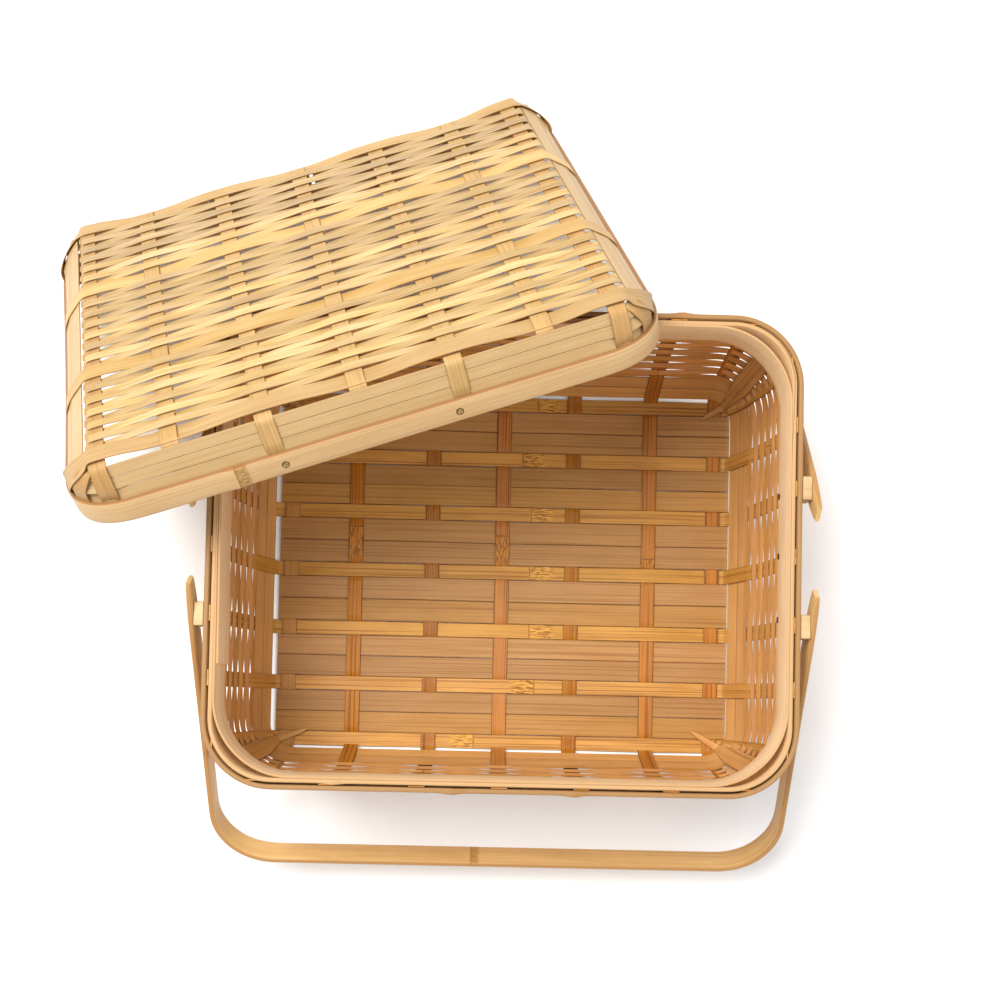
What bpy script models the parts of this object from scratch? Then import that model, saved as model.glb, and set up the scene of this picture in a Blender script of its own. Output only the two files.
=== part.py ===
"""A bamboo splint basket with two bent handles and a separate lid, in metres, +Z up.

The basket stands on its base with the centre of the base at the origin. Both handles are folded
down, one to the front and one to the back, and the lid is off and leans over the back left
corner of the basket, as in the photograph.
"""

import math

import bmesh
import bpy
from mathutils import Euler, Matrix, Vector

# Rim, over the outside of the outer hoop, and the height of the rim over the table.
RIM_LENGTH = 0.320
RIM_DEPTH = 0.261
RIM_HEIGHT = 0.128
RIM_CORNER_RADIUS = 0.038
COLLAR_CORNER_RADIUS = 0.042

# Floor, measured to the middle of the wall at its foot.
FLOOR_LENGTH = 0.285
FLOOR_DEPTH = 0.225
FLOOR_CORNER_RADIUS = 0.014
WALL_FOOT_HEIGHT = 0.0035
FLARE_POWER = 2.2

# Splints: their thickness, and the clearance kept between any two of them.
SPLINT_THICKNESS = 0.0007
CLEARANCE = 0.0003
STAKE_WIDTH = 0.009
NARROW_STRIP_WIDTH = 0.009
STRIP_GAP = 0.0012
SLOPE_REACH = 0.0002
STAKE_MARGIN = 0.001
SLAT_END_SETBACK = 0.0023

# Places of the seven cross stakes and seven long stakes, as shares of the half floor.
CROSS_STAKE_SHARES = (-0.9291, -0.6456, -0.3088, 0.0, 0.3088, 0.6456, 0.9291)
LONG_STAKE_SHARES = (-0.9387, -0.6364, -0.3280, 0.0, 0.3280, 0.6364, 0.9387)

# Wall: two wide slats that go round, then the band of narrow weavers, then the hoops.
WALL_SLATS = 2
WALL_SLAT_HEIGHT = 0.0130
BAND_THICKNESS = 0.0008
BAND_WEAVERS = 14
BAND_KNOTS = 7
BAND_VALLEY = 0.0004
HOOP_HEIGHT = 0.0220
OUTER_HOOP_DROP = 0.0005
HOOP_LEAD_IN = 0.0025
STAKE_TOP_SETBACK = 0.0010
OUTER_HOOP_THICKNESS = 0.0026
INNER_HOOP_THICKNESS = 0.0024
COLLAR_THICKNESS = 0.0016
COLLAR_RISE = 0.0005
CORNER_SEGMENTS = 7

# Corner stakes, wide at the rim and pointed where they lie on the floor.
CORNER_STAKE_WIDTH = 0.012
CORNER_STAKE_TIP_WIDTH = 0.002
CORNER_STAKE_TIP_REACH = 0.009
CORNER_STAKE_TAPER_LEVELS = 3

# Handles: flat bent strips that swing on nails through blocks on the outer hoop.
HANDLE_WIDTH = 0.016
HANDLE_THICKNESS = 0.003
HANDLE_OVERHANG = 0.071
HANDLE_TAIL = 0.021
HANDLE_TAIL_WIDTH = 0.011
HANDLE_CORNER_RADIUS = 0.034
HANDLE_CORNER_SEGMENTS = 10
HANDLE_PIVOT_DEPTH = 0.0375
HANDLE_PIVOT_DROP = 0.0085
HANDLE_REACH = RIM_DEPTH / 2 - HANDLE_PIVOT_DEPTH + HANDLE_OVERHANG
FRONT_HANDLE_DROOP = math.radians(33.0)
BLOCK_WIDTH = 0.013
BLOCK_HEIGHT = 0.014
BLOCK_THICKNESS = 0.0049
NAIL_RADIUS = 0.0013
NAIL_HEAD_RADIUS = 0.0030
NAIL_HEAD_HEIGHT = 0.0010
NAIL_DEPTH = 0.0035
NAIL_CLEARANCE = 0.0002
ROUND_SEGMENTS = 20
SHARP_ANGLE = math.radians(32.0)

# Lid, in its own frame: the lower edge of its hoop is the plane of height zero.
LID_LENGTH = 0.320
LID_DEPTH = 0.261
LID_HEIGHT = 0.0345
LID_CORNER_RADIUS = 0.040
LID_TOP_CORNER_RADIUS = 0.014
LID_END_FLARE = 0.016
LID_SIDE_FLARE = 0.0075
LID_HOOP_HEIGHT = 0.0125
LID_HOOP_THICKNESS = 0.0026
LID_SLAT_LEAD = 0.0015
LID_SLATS = 3
LID_PANEL_THICKNESS = 0.0009
LID_PANEL_VALLEY = 0.0005
LID_WIDE_STRIP = 0.0118
LID_WEAVERS = (11, 13, 11)
LID_STRIP_GAP = 0.0008
PANEL_END_SHARE = 0.9
LID_STAKE_SHARES = (-0.925, -0.667, -0.3375, 0.0, 0.3375, 0.667, 0.925)
LID_STAKE_FOOT = 0.0040
LID_YAW = 0.3222
LID_REAR_PLACE = (-0.1276, 0.2316)

# Levels of the floor weave: the middle of a strip that passes below, and above.
LOW = SPLINT_THICKNESS / 2
HIGH = LOW + SPLINT_THICKNESS + CLEARANCE

# Offset from the middle of the wall of a stake that passes inside or outside it.
STAKE_OFFSET = BAND_THICKNESS / 2 + CLEARANCE + SPLINT_THICKNESS / 2

# The wall's middle plane at the rim, found from the outside of the outer hoop.
RIM_INSET = OUTER_HOOP_THICKNESS + CLEARANCE + SPLINT_THICKNESS / 2
HOOP_FOOT = RIM_HEIGHT - HOOP_HEIGHT
BAND_TOP = HOOP_FOOT - HOOP_LEAD_IN
RING_STEP = WALL_SLAT_HEIGHT + CLEARANCE
BAND_FOOT = WALL_FOOT_HEIGHT + WALL_SLATS * RING_STEP

BAMBOO = (0.62, 0.37, 0.15)
BAMBOO_PALE = (0.76, 0.55, 0.29)
BAMBOO_DARK = (0.46, 0.24, 0.09)
BRASS = (0.62, 0.44, 0.16)


def clear_scene():
    """Removes everything that the startup scene holds."""
    for thing in list(bpy.data.objects):
        bpy.data.objects.remove(thing, do_unlink=True)


def material(name, colour, roughness, metallic=0.0):
    """A plain surface for one kind of piece."""
    made = bpy.data.materials.new(name)
    made.use_nodes = True
    shader = made.node_tree.nodes["Principled BSDF"]
    shader.inputs["Base Color"].default_value = (*colour, 1.0)
    shader.inputs["Roughness"].default_value = roughness
    shader.inputs["Metallic"].default_value = metallic
    return made


def add_solid(name, points, faces, colour, origin=(0.0, 0.0, 0.0), roughness=0.5, metallic=0.0):
    """Makes one closed solid from world points, with its origin where asked."""
    place = Vector(origin)
    mesh = bpy.data.meshes.new(name)
    mesh.from_pydata([Vector(point) - place for point in points], [], faces)
    work = bmesh.new()
    work.from_mesh(mesh)
    bmesh.ops.recalc_face_normals(work, faces=work.faces)
    if work.calc_volume(signed=True) < 0:
        bmesh.ops.reverse_faces(work, faces=work.faces)
    work.to_mesh(mesh)
    work.free()
    solid = bpy.data.objects.new(name, mesh)
    solid.location = place
    mesh.materials.append(material(name + "_surface", colour, roughness, metallic))
    mesh.shade_smooth()
    mesh.set_sharp_from_angle(angle=SHARP_ANGLE)
    bpy.context.scene.collection.objects.link(solid)
    return solid


def swept(rings, loop_closed):
    """Faces that join rings of four points, one ring after the other."""
    faces = []
    count = len(rings)
    steps = count if loop_closed else count - 1
    for step in range(steps):
        here = step * 4
        there = ((step + 1) % count) * 4
        for side in range(4):
            turn = (side + 1) % 4
            faces.append((here + side, here + turn, there + turn, there + side))
    if not loop_closed:
        faces.append((0, 3, 2, 1))
        last = (count - 1) * 4
        faces.append((last, last + 1, last + 2, last + 3))
    return faces


def flare(height):
    """Share of the way out from the foot of the wall to the rim, at a height."""
    share = (height - WALL_FOOT_HEIGHT) / (HOOP_FOOT - WALL_FOOT_HEIGHT)
    share = min(1.0, max(0.0, share))
    return 1.0 - (1.0 - share) ** FLARE_POWER


def wall_knots():
    """Heights at which the wall changes its slope; every piece of the wall keeps to them."""
    knots = [WALL_FOOT_HEIGHT + step * RING_STEP for step in range(WALL_SLATS + 1)]
    rise = (BAND_TOP - BAND_FOOT) / BAND_KNOTS
    knots += [BAND_FOOT + step * rise for step in range(1, BAND_KNOTS + 1)]
    return knots + [HOOP_FOOT]


def between_knots(height, values):
    """Value at a height on the straight lines that join the values at the knots."""
    knots = wall_knots()
    if height <= knots[0]:
        return values[0]
    for low, high, first, second in zip(knots, knots[1:], values, values[1:]):
        if height <= high:
            return first + (second - first) * (height - low) / (high - low)
    return values[-1]


def wall_size(height):
    """Half length, half depth and corner radius of the middle of the wall at a height."""
    shares = [flare(knot) for knot in wall_knots()]
    share = between_knots(height, shares)
    length = FLOOR_LENGTH / 2 + share * (RIM_LENGTH / 2 - RIM_INSET - FLOOR_LENGTH / 2)
    depth = FLOOR_DEPTH / 2 + share * (RIM_DEPTH / 2 - RIM_INSET - FLOOR_DEPTH / 2)
    top_radius = RIM_CORNER_RADIUS - RIM_INSET
    radius = FLOOR_CORNER_RADIUS + share * (top_radius - FLOOR_CORNER_RADIUS)
    return length, depth, radius


def rounded_loop(length, depth, radius, segments=CORNER_SEGMENTS):
    """Points round a rounded rectangle, given by its half sides and its corner radius."""
    corners = ((1, 1, 0.0), (-1, 1, 90.0), (-1, -1, 180.0), (1, -1, 270.0))
    points = []
    for side_x, side_y, start in corners:
        for step in range(segments + 1):
            angle = math.radians(start + 90.0 * step / segments)
            x = side_x * (length - radius) + radius * math.cos(angle)
            y = side_y * (depth - radius) + radius * math.sin(angle)
            points.append((x, y))
    return points


def loft(levels):
    """Points and faces of a ring with an outer and an inner wall through several levels.

    Each level is (outer loop, inner loop, height).
    """
    count = len(levels[0][0])
    rows = [[(x, y, height) for x, y in outer] for outer, inner, height in levels]
    rows += [[(x, y, height) for x, y in inner] for outer, inner, height in reversed(levels)]
    points = [point for row in rows for point in row]
    faces = []
    for row in range(len(rows)):
        after = (row + 1) % len(rows)
        for step in range(count):
            turn = (step + 1) % count
            faces.append(
                (row * count + step, row * count + turn, after * count + turn, after * count + step)
            )
    return points, faces


def wall_ring(name, heights, inner, outer, colour):
    """A ring that follows the wall between two offsets from its middle."""
    levels = []
    for height in heights:
        length, depth, radius = wall_size(height)
        levels.append(
            (
                rounded_loop(length + outer, depth + outer, radius + outer),
                rounded_loop(length + inner, depth + inner, radius + inner),
                height,
            )
        )
    points, faces = loft(levels)
    return add_solid(name, points, faces, colour)


def upright_ring(name, foot, top, length, depth, radius, thickness, colour, place=None):
    """A hoop with upright sides, given by the half sides and radius of its outside."""
    outer = rounded_loop(length, depth, radius)
    inner = rounded_loop(length - thickness, depth - thickness, radius - thickness)
    points, faces = loft([(outer, inner, foot), (outer, inner, top)])
    return add_solid(name, moved(points, place), faces, colour)


def moved(points, place):
    """The points after a placement, or as they are where there is none."""
    if place is None:
        return points
    return [place @ Vector(point) for point in points]


def ribbon(name, stations, width, middle, along_x, colour, place=None):
    """A flat strip: stations are (first, second) edge points of its side outline.

    Each edge point is (distance along the strip, height). The strip runs along X or along Y
    and is as wide as asked about its middle.
    """
    rings = []
    for (one, low), (two, high) in stations:
        ends = ((one, low, -1), (two, high, -1), (two, high, 1), (one, low, 1))
        for run, rise, side in ends:
            across = middle + side * width / 2
            rings.append((run, across, rise) if along_x else (across, run, rise))
    faces = swept([None] * len(stations), False)
    return add_solid(name, moved(rings, place), faces, colour)


def flat_stations(path):
    """Edge points for a strip that lies flat: path is (distance, middle height) pairs."""
    half = SPLINT_THICKNESS / 2
    return [((run, rise - half), (run, rise + half)) for run, rise in path]


def wall_stations(size_index, offset):
    """Edge points of a stake from the foot of the wall to its top end, on the far side."""
    half = SPLINT_THICKNESS / 2
    stations = []
    for knot in wall_knots():
        shift = offset if knot < HOOP_FOOT else 0.0
        middle = wall_size(knot)[size_index] + shift
        stations.append(((middle + half, knot), (middle - half, knot)))
    top = RIM_HEIGHT - OUTER_HOOP_DROP - STAKE_TOP_SETBACK
    middle = wall_size(top)[size_index]
    stations.append(((middle + half, top), (middle - half, top)))
    return stations


def bend_station(size_index, offset, level):
    """Edge points where a stake turns from the floor up into the wall."""
    half = SPLINT_THICKNESS / 2
    middle = wall_size(0.0)[size_index] + offset
    return ((middle + half, level - half), (middle - half, level + half))


def mirrored(stations):
    """The same edge points on the other side of the basket, in the order along the strip."""
    return [((-one, low), (-two, high)) for (one, low), (two, high) in reversed(stations)]


def cross_places():
    """Places of the cross stakes along the basket."""
    return [share * FLOOR_LENGTH / 2 for share in CROSS_STAKE_SHARES]


def long_places():
    """Places of the long stakes across the basket."""
    return [share * FLOOR_DEPTH / 2 for share in LONG_STAKE_SHARES]


def cross_path(passes_over_slats):
    """Levels of a cross stake over the floor, from the front edge to the back edge."""
    at_slats = HIGH if passes_over_slats else LOW
    at_strips = LOW if passes_over_slats else HIGH
    edge = NARROW_STRIP_WIDTH / 2
    places = long_places()
    path = []
    for first, second in zip(places, places[1:]):
        path.append((first + edge - SLOPE_REACH, at_strips))
        path.append((first + edge + STRIP_GAP + SLOPE_REACH, at_slats))
        path.append((second - edge - STRIP_GAP - SLOPE_REACH, at_slats))
        path.append((second - edge + SLOPE_REACH, at_strips))
    return path, at_strips


def cross_stakes():
    """The cross stakes: plain weave with the floor, the inner five go up both long walls."""
    for index, middle in enumerate(cross_places()):
        even = index % 2 == 1
        path, level = cross_path(even)
        offset = -STAKE_OFFSET if even else STAKE_OFFSET
        if index in (0, len(CROSS_STAKE_SHARES) - 1):
            edge = long_places()[-1] + NARROW_STRIP_WIDTH / 2
            stations = flat_stations([(-edge, level)] + path + [(edge, level)])
        else:
            side = [bend_station(1, offset, level)] + wall_stations(1, offset)
            stations = mirrored(side) + flat_stations(path) + side
        ribbon(f"cross_stake_{index + 1}", stations, STAKE_WIDTH, middle, False, BAMBOO_DARK)


def lengthwise_path(over_even_stakes, end):
    """Levels of a strip that runs the length of the floor, between its two ends."""
    edge = STAKE_WIDTH / 2 + STAKE_MARGIN
    path = []
    for index, middle in enumerate(cross_places()):
        even = index % 2 == 1
        level = HIGH if even == over_even_stakes else LOW
        path.append((middle - edge, level))
        path.append((middle + edge, level))
    path[0] = (-end, path[0][1])
    path[-1] = (end, path[-1][1])
    return path


def long_stakes():
    """The narrow lengthwise strips: the inner five go on up the end walls."""
    for index, middle in enumerate(long_places()):
        even = index % 2 == 1
        offset = -STAKE_OFFSET if even else STAKE_OFFSET
        if index in (0, len(LONG_STAKE_SHARES) - 1):
            end = FLOOR_LENGTH / 2 - SLAT_END_SETBACK
            stations = flat_stations(lengthwise_path(True, end))
        else:
            path = lengthwise_path(True, cross_places()[-1] + STAKE_WIDTH / 2)
            side = [bend_station(0, offset, path[-1][1])] + wall_stations(0, offset)
            stations = mirrored(side) + flat_stations(path) + side
        ribbon(f"long_stake_{index + 1}", stations, NARROW_STRIP_WIDTH, middle, True, BAMBOO)


def floor_slats():
    """Pairs of wide slats between the narrow strips, woven the other way to them."""
    places = long_places()
    end = FLOOR_LENGTH / 2 - SLAT_END_SETBACK
    stations = flat_stations(lengthwise_path(False, end))
    number = 0
    for first, second in zip(places, places[1:]):
        low = first + NARROW_STRIP_WIDTH / 2 + STRIP_GAP
        high = second - NARROW_STRIP_WIDTH / 2 - STRIP_GAP
        width = (high - low - CLEARANCE) / 2
        for middle in (low + width / 2, high - width / 2):
            number += 1
            ribbon(f"floor_slat_{number}", stations, width, middle, True, BAMBOO_PALE)


def walls():
    """The wide slats that go round the foot of the wall, and the band of narrow weavers."""
    half = SPLINT_THICKNESS / 2
    for step in range(WALL_SLATS):
        foot = WALL_FOOT_HEIGHT + step * RING_STEP
        heights = (foot, foot + WALL_SLAT_HEIGHT)
        wall_ring(f"wall_slat_{step + 1}", heights, -half, half, BAMBOO)
    woven_band()


def woven_band():
    """The narrow weavers as one band: a rib for each weaver, a valley where two meet."""
    pitch = (BAND_TOP - BAND_FOOT) / BAND_WEAVERS
    levels = []
    for step in range(2 * BAND_WEAVERS + 1):
        height = BAND_FOOT + step * pitch / 2
        half = (BAND_THICKNESS if step % 2 else BAND_VALLEY) / 2
        length, depth, radius = wall_size(height)
        levels.append(
            (
                rounded_loop(length + half, depth + half, radius + half),
                rounded_loop(length - half, depth - half, radius - half),
                height,
            )
        )
    points, faces = loft(levels)
    add_solid("woven_band", points, faces, BAMBOO)


def hoops():
    """Outer hoop, inner hoop and collar, which hold the ends of the stakes between them."""
    length = RIM_LENGTH / 2
    depth = RIM_DEPTH / 2
    upright_ring(
        "rim_outer_hoop",
        HOOP_FOOT,
        RIM_HEIGHT - OUTER_HOOP_DROP,
        length,
        depth,
        RIM_CORNER_RADIUS,
        OUTER_HOOP_THICKNESS,
        BAMBOO_PALE,
    )
    inset = RIM_INSET + SPLINT_THICKNESS / 2 + CLEARANCE
    upright_ring(
        "rim_inner_hoop",
        HOOP_FOOT,
        RIM_HEIGHT,
        length - inset,
        depth - inset,
        RIM_CORNER_RADIUS - inset,
        INNER_HOOP_THICKNESS,
        BAMBOO_PALE,
    )
    inset += INNER_HOOP_THICKNESS + CLEARANCE
    upright_ring(
        "rim_collar",
        HOOP_FOOT + COLLAR_RISE,
        RIM_HEIGHT + COLLAR_RISE,
        length - inset,
        depth - inset,
        COLLAR_CORNER_RADIUS,
        COLLAR_THICKNESS,
        BAMBOO_PALE,
    )


def corner_reach(height, half_width):
    """How far out of the corner's centre a flat corner stake can lie inside the wall."""
    chord = math.cos(math.pi / (4 * CORNER_SEGMENTS))
    radius = (wall_size(height)[2] - BAND_THICKNESS / 2) * chord - CLEARANCE
    return math.sqrt(radius**2 - half_width**2) - SPLINT_THICKNESS / 2


def corner_stations():
    """Edge points and half widths of a corner stake, outward from the corner's centre."""
    half = SPLINT_THICKNESS / 2
    over_floor = HIGH + SPLINT_THICKNESS + CLEARANCE
    knots = [knot for knot in wall_knots() if knot < HOOP_FOOT]
    stations = []
    for index, knot in enumerate(knots):
        share = min(1.0, index / CORNER_STAKE_TAPER_LEVELS)
        spread = CORNER_STAKE_WIDTH - CORNER_STAKE_TIP_WIDTH
        width = (CORNER_STAKE_TIP_WIDTH + spread * (0.35 + 0.65 * share)) / 2
        length, depth, radius = wall_size(knot)
        reach = corner_reach(knot, width)
        stations.append((length - radius, depth - radius, reach, knot, width))
    first = stations[0]
    out = first[2]
    tip = out - CORNER_STAKE_TIP_REACH
    rows = [
        (first[0], first[1], (tip, over_floor - half), (tip, over_floor + half), CORNER_STAKE_TIP_WIDTH / 2),
        (first[0], first[1], (out + half, over_floor - half), (out - half, over_floor + half), first[4]),
    ]
    for centre_x, centre_y, reach, knot, width in stations:
        rows.append((centre_x, centre_y, (reach + half, knot), (reach - half, knot), width))
    return rows


def corner_stakes():
    """One wide stake up each corner, inside the wall, with its pointed foot on the floor."""
    slant = math.sqrt(0.5)
    corners = ((1, 1), (-1, 1), (-1, -1), (1, -1))
    for number, (side_x, side_y) in enumerate(corners):
        points = []
        for centre_x, centre_y, one, two, width in corner_stations():
            for (reach, height), side in ((one, -1), (two, -1), (two, 1), (one, 1)):
                x = centre_x + slant * (reach - side * width)
                y = centre_y + slant * (reach + side * width)
                points.append((side_x * x, side_y * y, height))
        faces = swept([None] * (len(points) // 4), False)
        add_solid(f"corner_stake_{number + 1}", points, faces, BAMBOO_DARK)


def handle_line():
    """Middle line of a bent handle: (across, distance from the pivot) and the width there."""
    across = handle_half()
    radius = HANDLE_CORNER_RADIUS
    rows = [(-across, -HANDLE_TAIL, HANDLE_TAIL_WIDTH), (-across, -HANDLE_TAIL / 2, HANDLE_WIDTH)]
    for step in range(HANDLE_CORNER_SEGMENTS + 1):
        angle = math.pi / 2 * step / HANDLE_CORNER_SEGMENTS
        x = -across + radius * (1 - math.cos(angle))
        run = HANDLE_REACH - radius * (1 - math.sin(angle))
        rows.append((x, run, HANDLE_WIDTH))
    return rows + [(-x, run, width) for x, run, width in reversed(rows)]


def handle_half():
    """Half the distance between the middles of the two arms of a handle."""
    inside = RIM_LENGTH / 2 + CLEARANCE + BLOCK_THICKNESS + CLEARANCE
    return inside + HANDLE_THICKNESS / 2


def pivot_height():
    """Height of the handles' pivot axes."""
    return RIM_HEIGHT - HANDLE_PIVOT_DROP


def resting_droop():
    """Angle below the level at which the lower edge of a folded handle meets the table."""
    reach = HANDLE_REACH + HANDLE_THICKNESS / 2
    edge = HANDLE_WIDTH / 2
    across = math.hypot(reach, edge)
    return math.asin((pivot_height() - CLEARANCE) / across) - math.atan2(edge, reach)


def outward(rows, index):
    """Direction away from the opening of the handle, square to its middle line."""
    before = rows[max(0, index - 1)]
    after = rows[min(len(rows) - 1, index + 1)]
    run = Vector((after[0] - before[0], after[1] - before[1])).normalized()
    return Vector((-run[1], run[0]))


def handle(name, side, droop):
    """One bent handle, folded down to its own side, with a hole for the nail in each arm."""
    rows = handle_line()
    turn = Matrix.Rotation(-droop * side, 3, "X")
    pivot = Vector((0.0, side * HANDLE_PIVOT_DEPTH, pivot_height()))
    half = HANDLE_THICKNESS / 2
    points = []
    for index, (x, run, width) in enumerate(rows):
        out = outward(rows, index) * half
        for sign, edge in ((-1, -1), (1, -1), (1, 1), (-1, 1)):
            local = Vector((x + sign * out[0], side * (run + sign * out[1]), edge * width / 2))
            points.append(pivot + turn @ local)
    faces = swept([None] * len(rows), False)
    solid = add_solid(name, points, faces, BAMBOO, origin=pivot, roughness=0.45)
    bore = NAIL_RADIUS + NAIL_CLEARANCE
    drill(solid, bore, 2 * (handle_half() + HANDLE_THICKNESS), (0.0, pivot[1], pivot[2]))


def drill(solid, radius, length, place):
    """Cuts a round hole along X through a solid."""
    points, faces = round_bar([(-length / 2, radius), (length / 2, radius)])
    cutter = add_solid(solid.name + "_cutter", [(x, y + place[1], z + place[2]) for x, y, z in points],
                       faces, BRASS)
    for vertex in cutter.data.vertices:
        vertex.co.x += place[0]
    cutter.hide_render = True
    cutter.display_type = "WIRE"
    cut = solid.modifiers.new("nail_hole", "BOOLEAN")
    cut.operation = "DIFFERENCE"
    cut.solver = "EXACT"
    cut.object = cutter


def round_bar(profile):
    """Points and faces of a bar turned about X through (place along X, radius) pairs."""
    points = []
    for along, radius in profile:
        for step in range(ROUND_SEGMENTS):
            angle = 2 * math.pi * step / ROUND_SEGMENTS
            points.append((along, radius * math.cos(angle), radius * math.sin(angle)))
    faces = [tuple(range(ROUND_SEGMENTS))]
    for row in range(len(profile) - 1):
        for step in range(ROUND_SEGMENTS):
            turn = (step + 1) % ROUND_SEGMENTS
            here = row * ROUND_SEGMENTS
            there = here + ROUND_SEGMENTS
            faces.append((here + step, there + step, there + turn, here + turn))
    last = (len(profile) - 1) * ROUND_SEGMENTS
    faces.append(tuple(last + step for step in reversed(range(ROUND_SEGMENTS))))
    return points, faces


def box(low, high):
    """Points and faces of a block between two corners."""
    points = []
    for x in (low[0], high[0]):
        points += [(x, low[1], low[2]), (x, high[1], low[2]), (x, high[1], high[2]), (x, low[1], high[2])]
    return points, swept([None, None], False)


def pivots():
    """Four blocks on the outer hoop and the four nails on which the handles swing."""
    start = RIM_LENGTH / 2 + CLEARANCE
    height = pivot_height()
    for side, face in ((-1, "front"), (1, "back")):
        for hand, end in ((-1, "left"), (1, "right")):
            middle = side * HANDLE_PIVOT_DEPTH
            near = (hand * start, middle - BLOCK_WIDTH / 2, height - BLOCK_HEIGHT / 2)
            far = (hand * (start + BLOCK_THICKNESS), middle + BLOCK_WIDTH / 2, height + BLOCK_HEIGHT / 2)
            points, faces = box(near, far)
            block = add_solid(f"pivot_block_{face}_{end}", points, faces, BAMBOO_PALE)
            nail(f"pivot_nail_{face}_{end}", hand, middle, height)
            mouth = start + BLOCK_THICKNESS
            bore = NAIL_RADIUS + NAIL_CLEARANCE
            drill(block, bore, 2 * (NAIL_DEPTH + NAIL_CLEARANCE), (hand * mouth, middle, height))


def nail(name, hand, middle, height):
    """A nail with a low round head outside the handle and its point in the block."""
    mouth = RIM_LENGTH / 2 + CLEARANCE + BLOCK_THICKNESS
    under_head = mouth + CLEARANCE + HANDLE_THICKNESS + CLEARANCE
    profile = [
        (mouth - NAIL_DEPTH, NAIL_RADIUS),
        (under_head, NAIL_RADIUS),
        (under_head, NAIL_HEAD_RADIUS),
        (under_head + NAIL_HEAD_HEIGHT / 2, NAIL_HEAD_RADIUS),
        (under_head + NAIL_HEAD_HEIGHT, NAIL_HEAD_RADIUS / 2),
    ]
    points, faces = round_bar(profile)
    placed = [(hand * x, y + middle, z + height) for x, y, z in points]
    add_solid(name, placed, faces, BRASS, roughness=0.3, metallic=1.0)


def lid_tilt():
    """Lean of the lid: its rear edge on the table, its panel on the basket's back left corner."""
    back = Vector((-math.sin(LID_YAW), math.cos(LID_YAW)))
    corner = Vector((RIM_CORNER_RADIUS - RIM_LENGTH / 2, RIM_DEPTH / 2 - RIM_CORNER_RADIUS))
    touch = corner + RIM_CORNER_RADIUS * back
    run = (Vector(LID_REAR_PLACE) - touch).dot(back)
    rise = RIM_HEIGHT - OUTER_HOOP_DROP - CLEARANCE
    inside = lid_top() - LID_PANEL_THICKNESS / 2 - CLEARANCE
    return math.acos(inside / math.hypot(rise, run)) - math.atan2(run, rise)


def lid_place():
    """Placement of the lid, off the basket and leaning over its back left corner."""
    turn = Euler((0.0, 0.0, LID_YAW)).to_matrix() @ Euler((-lid_tilt(), 0.0, 0.0)).to_matrix()
    rear = Vector((*LID_REAR_PLACE, CLEARANCE))
    return Matrix.Translation(rear - turn @ Vector((0.0, LID_DEPTH / 2, 0.0))) @ turn.to_4x4()


def lid_size(height):
    """Half length, half depth and corner radius of the middle of the lid's wall."""
    foot = LID_HOOP_HEIGHT + LID_SLAT_LEAD
    share = min(1.0, max(0.0, (height - foot) / (LID_HEIGHT - foot)))
    inset = LID_HOOP_THICKNESS + CLEARANCE + SPLINT_THICKNESS / 2
    length = LID_LENGTH / 2 - inset - share * (LID_END_FLARE - inset)
    depth = LID_DEPTH / 2 - inset - share * (LID_SIDE_FLARE - inset)
    radius = LID_CORNER_RADIUS - inset
    return length, depth, radius + share * (LID_TOP_CORNER_RADIUS - radius)


def lid_ring(name, foot, top, place):
    """One wide slat that goes round the wall of the lid."""
    half = SPLINT_THICKNESS / 2
    levels = []
    for height in (foot, top):
        length, depth, radius = lid_size(height)
        levels.append(
            (
                rounded_loop(length + half, depth + half, radius + half),
                rounded_loop(length - half, depth - half, radius - half),
                height,
            )
        )
    points, faces = loft(levels)
    add_solid(name, moved(points, place), faces, BAMBOO_PALE)


def lid_top():
    """Height of the middle of the lid's woven panel."""
    return LID_HEIGHT - SPLINT_THICKNESS - CLEARANCE - LID_PANEL_THICKNESS / 2


def lid_wall():
    """Heights of the foot and the top of the three slats in the lid's wall."""
    foot = LID_HOOP_HEIGHT + LID_SLAT_LEAD
    under_panel = lid_top() - LID_PANEL_THICKNESS / 2 - SPLINT_THICKNESS - 2 * CLEARANCE
    return foot, under_panel


def lid_stakes(place):
    """Seven stakes across the lid: odd ones over its panel, even ones below it."""
    half = SPLINT_THICKNESS / 2
    offset = SPLINT_THICKNESS + CLEARANCE
    gap = LID_PANEL_THICKNESS / 2 + CLEARANCE + half
    top_length, top_depth, top_radius = lid_size(lid_wall()[1])
    panel_depth = top_depth - STRIP_GAP - half
    for index, share in enumerate(LID_STAKE_SHARES):
        middle = share * top_length
        even = index % 2 == 1
        level = lid_top() - gap if even else lid_top() + gap
        side = -offset if even else offset
        if index in (0, len(LID_STAKE_SHARES) - 1):
            stations = flat_stations([(-panel_depth, level), (panel_depth, level)])
        else:
            stations = lid_stake_side(side, level, half)
            stations = mirrored(stations) + stations
        ribbon(f"lid_stake_{index + 1}", stations, STAKE_WIDTH, middle, False, BAMBOO_PALE, place)


def lid_stake_side(side, level, half):
    """Edge points of a lid stake from the edge of the panel down to its end in the hoop."""
    foot, under_panel = lid_wall()
    rows = []
    turn_depth = lid_size(under_panel)[1] + side
    rows.append(((turn_depth + half, level + half), (turn_depth - half, level - half)))
    rows.append(((turn_depth + half, under_panel), (turn_depth - half, under_panel)))
    foot_depth = lid_size(foot)[1]
    rows.append(((foot_depth + side + half, foot), (foot_depth + side - half, foot)))
    rows.append(((foot_depth + half, foot - LID_SLAT_LEAD), (foot_depth - half, foot - LID_SLAT_LEAD)))
    rows.append(((foot_depth + half, LID_STAKE_FOOT), (foot_depth - half, LID_STAKE_FOOT)))
    return rows


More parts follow.
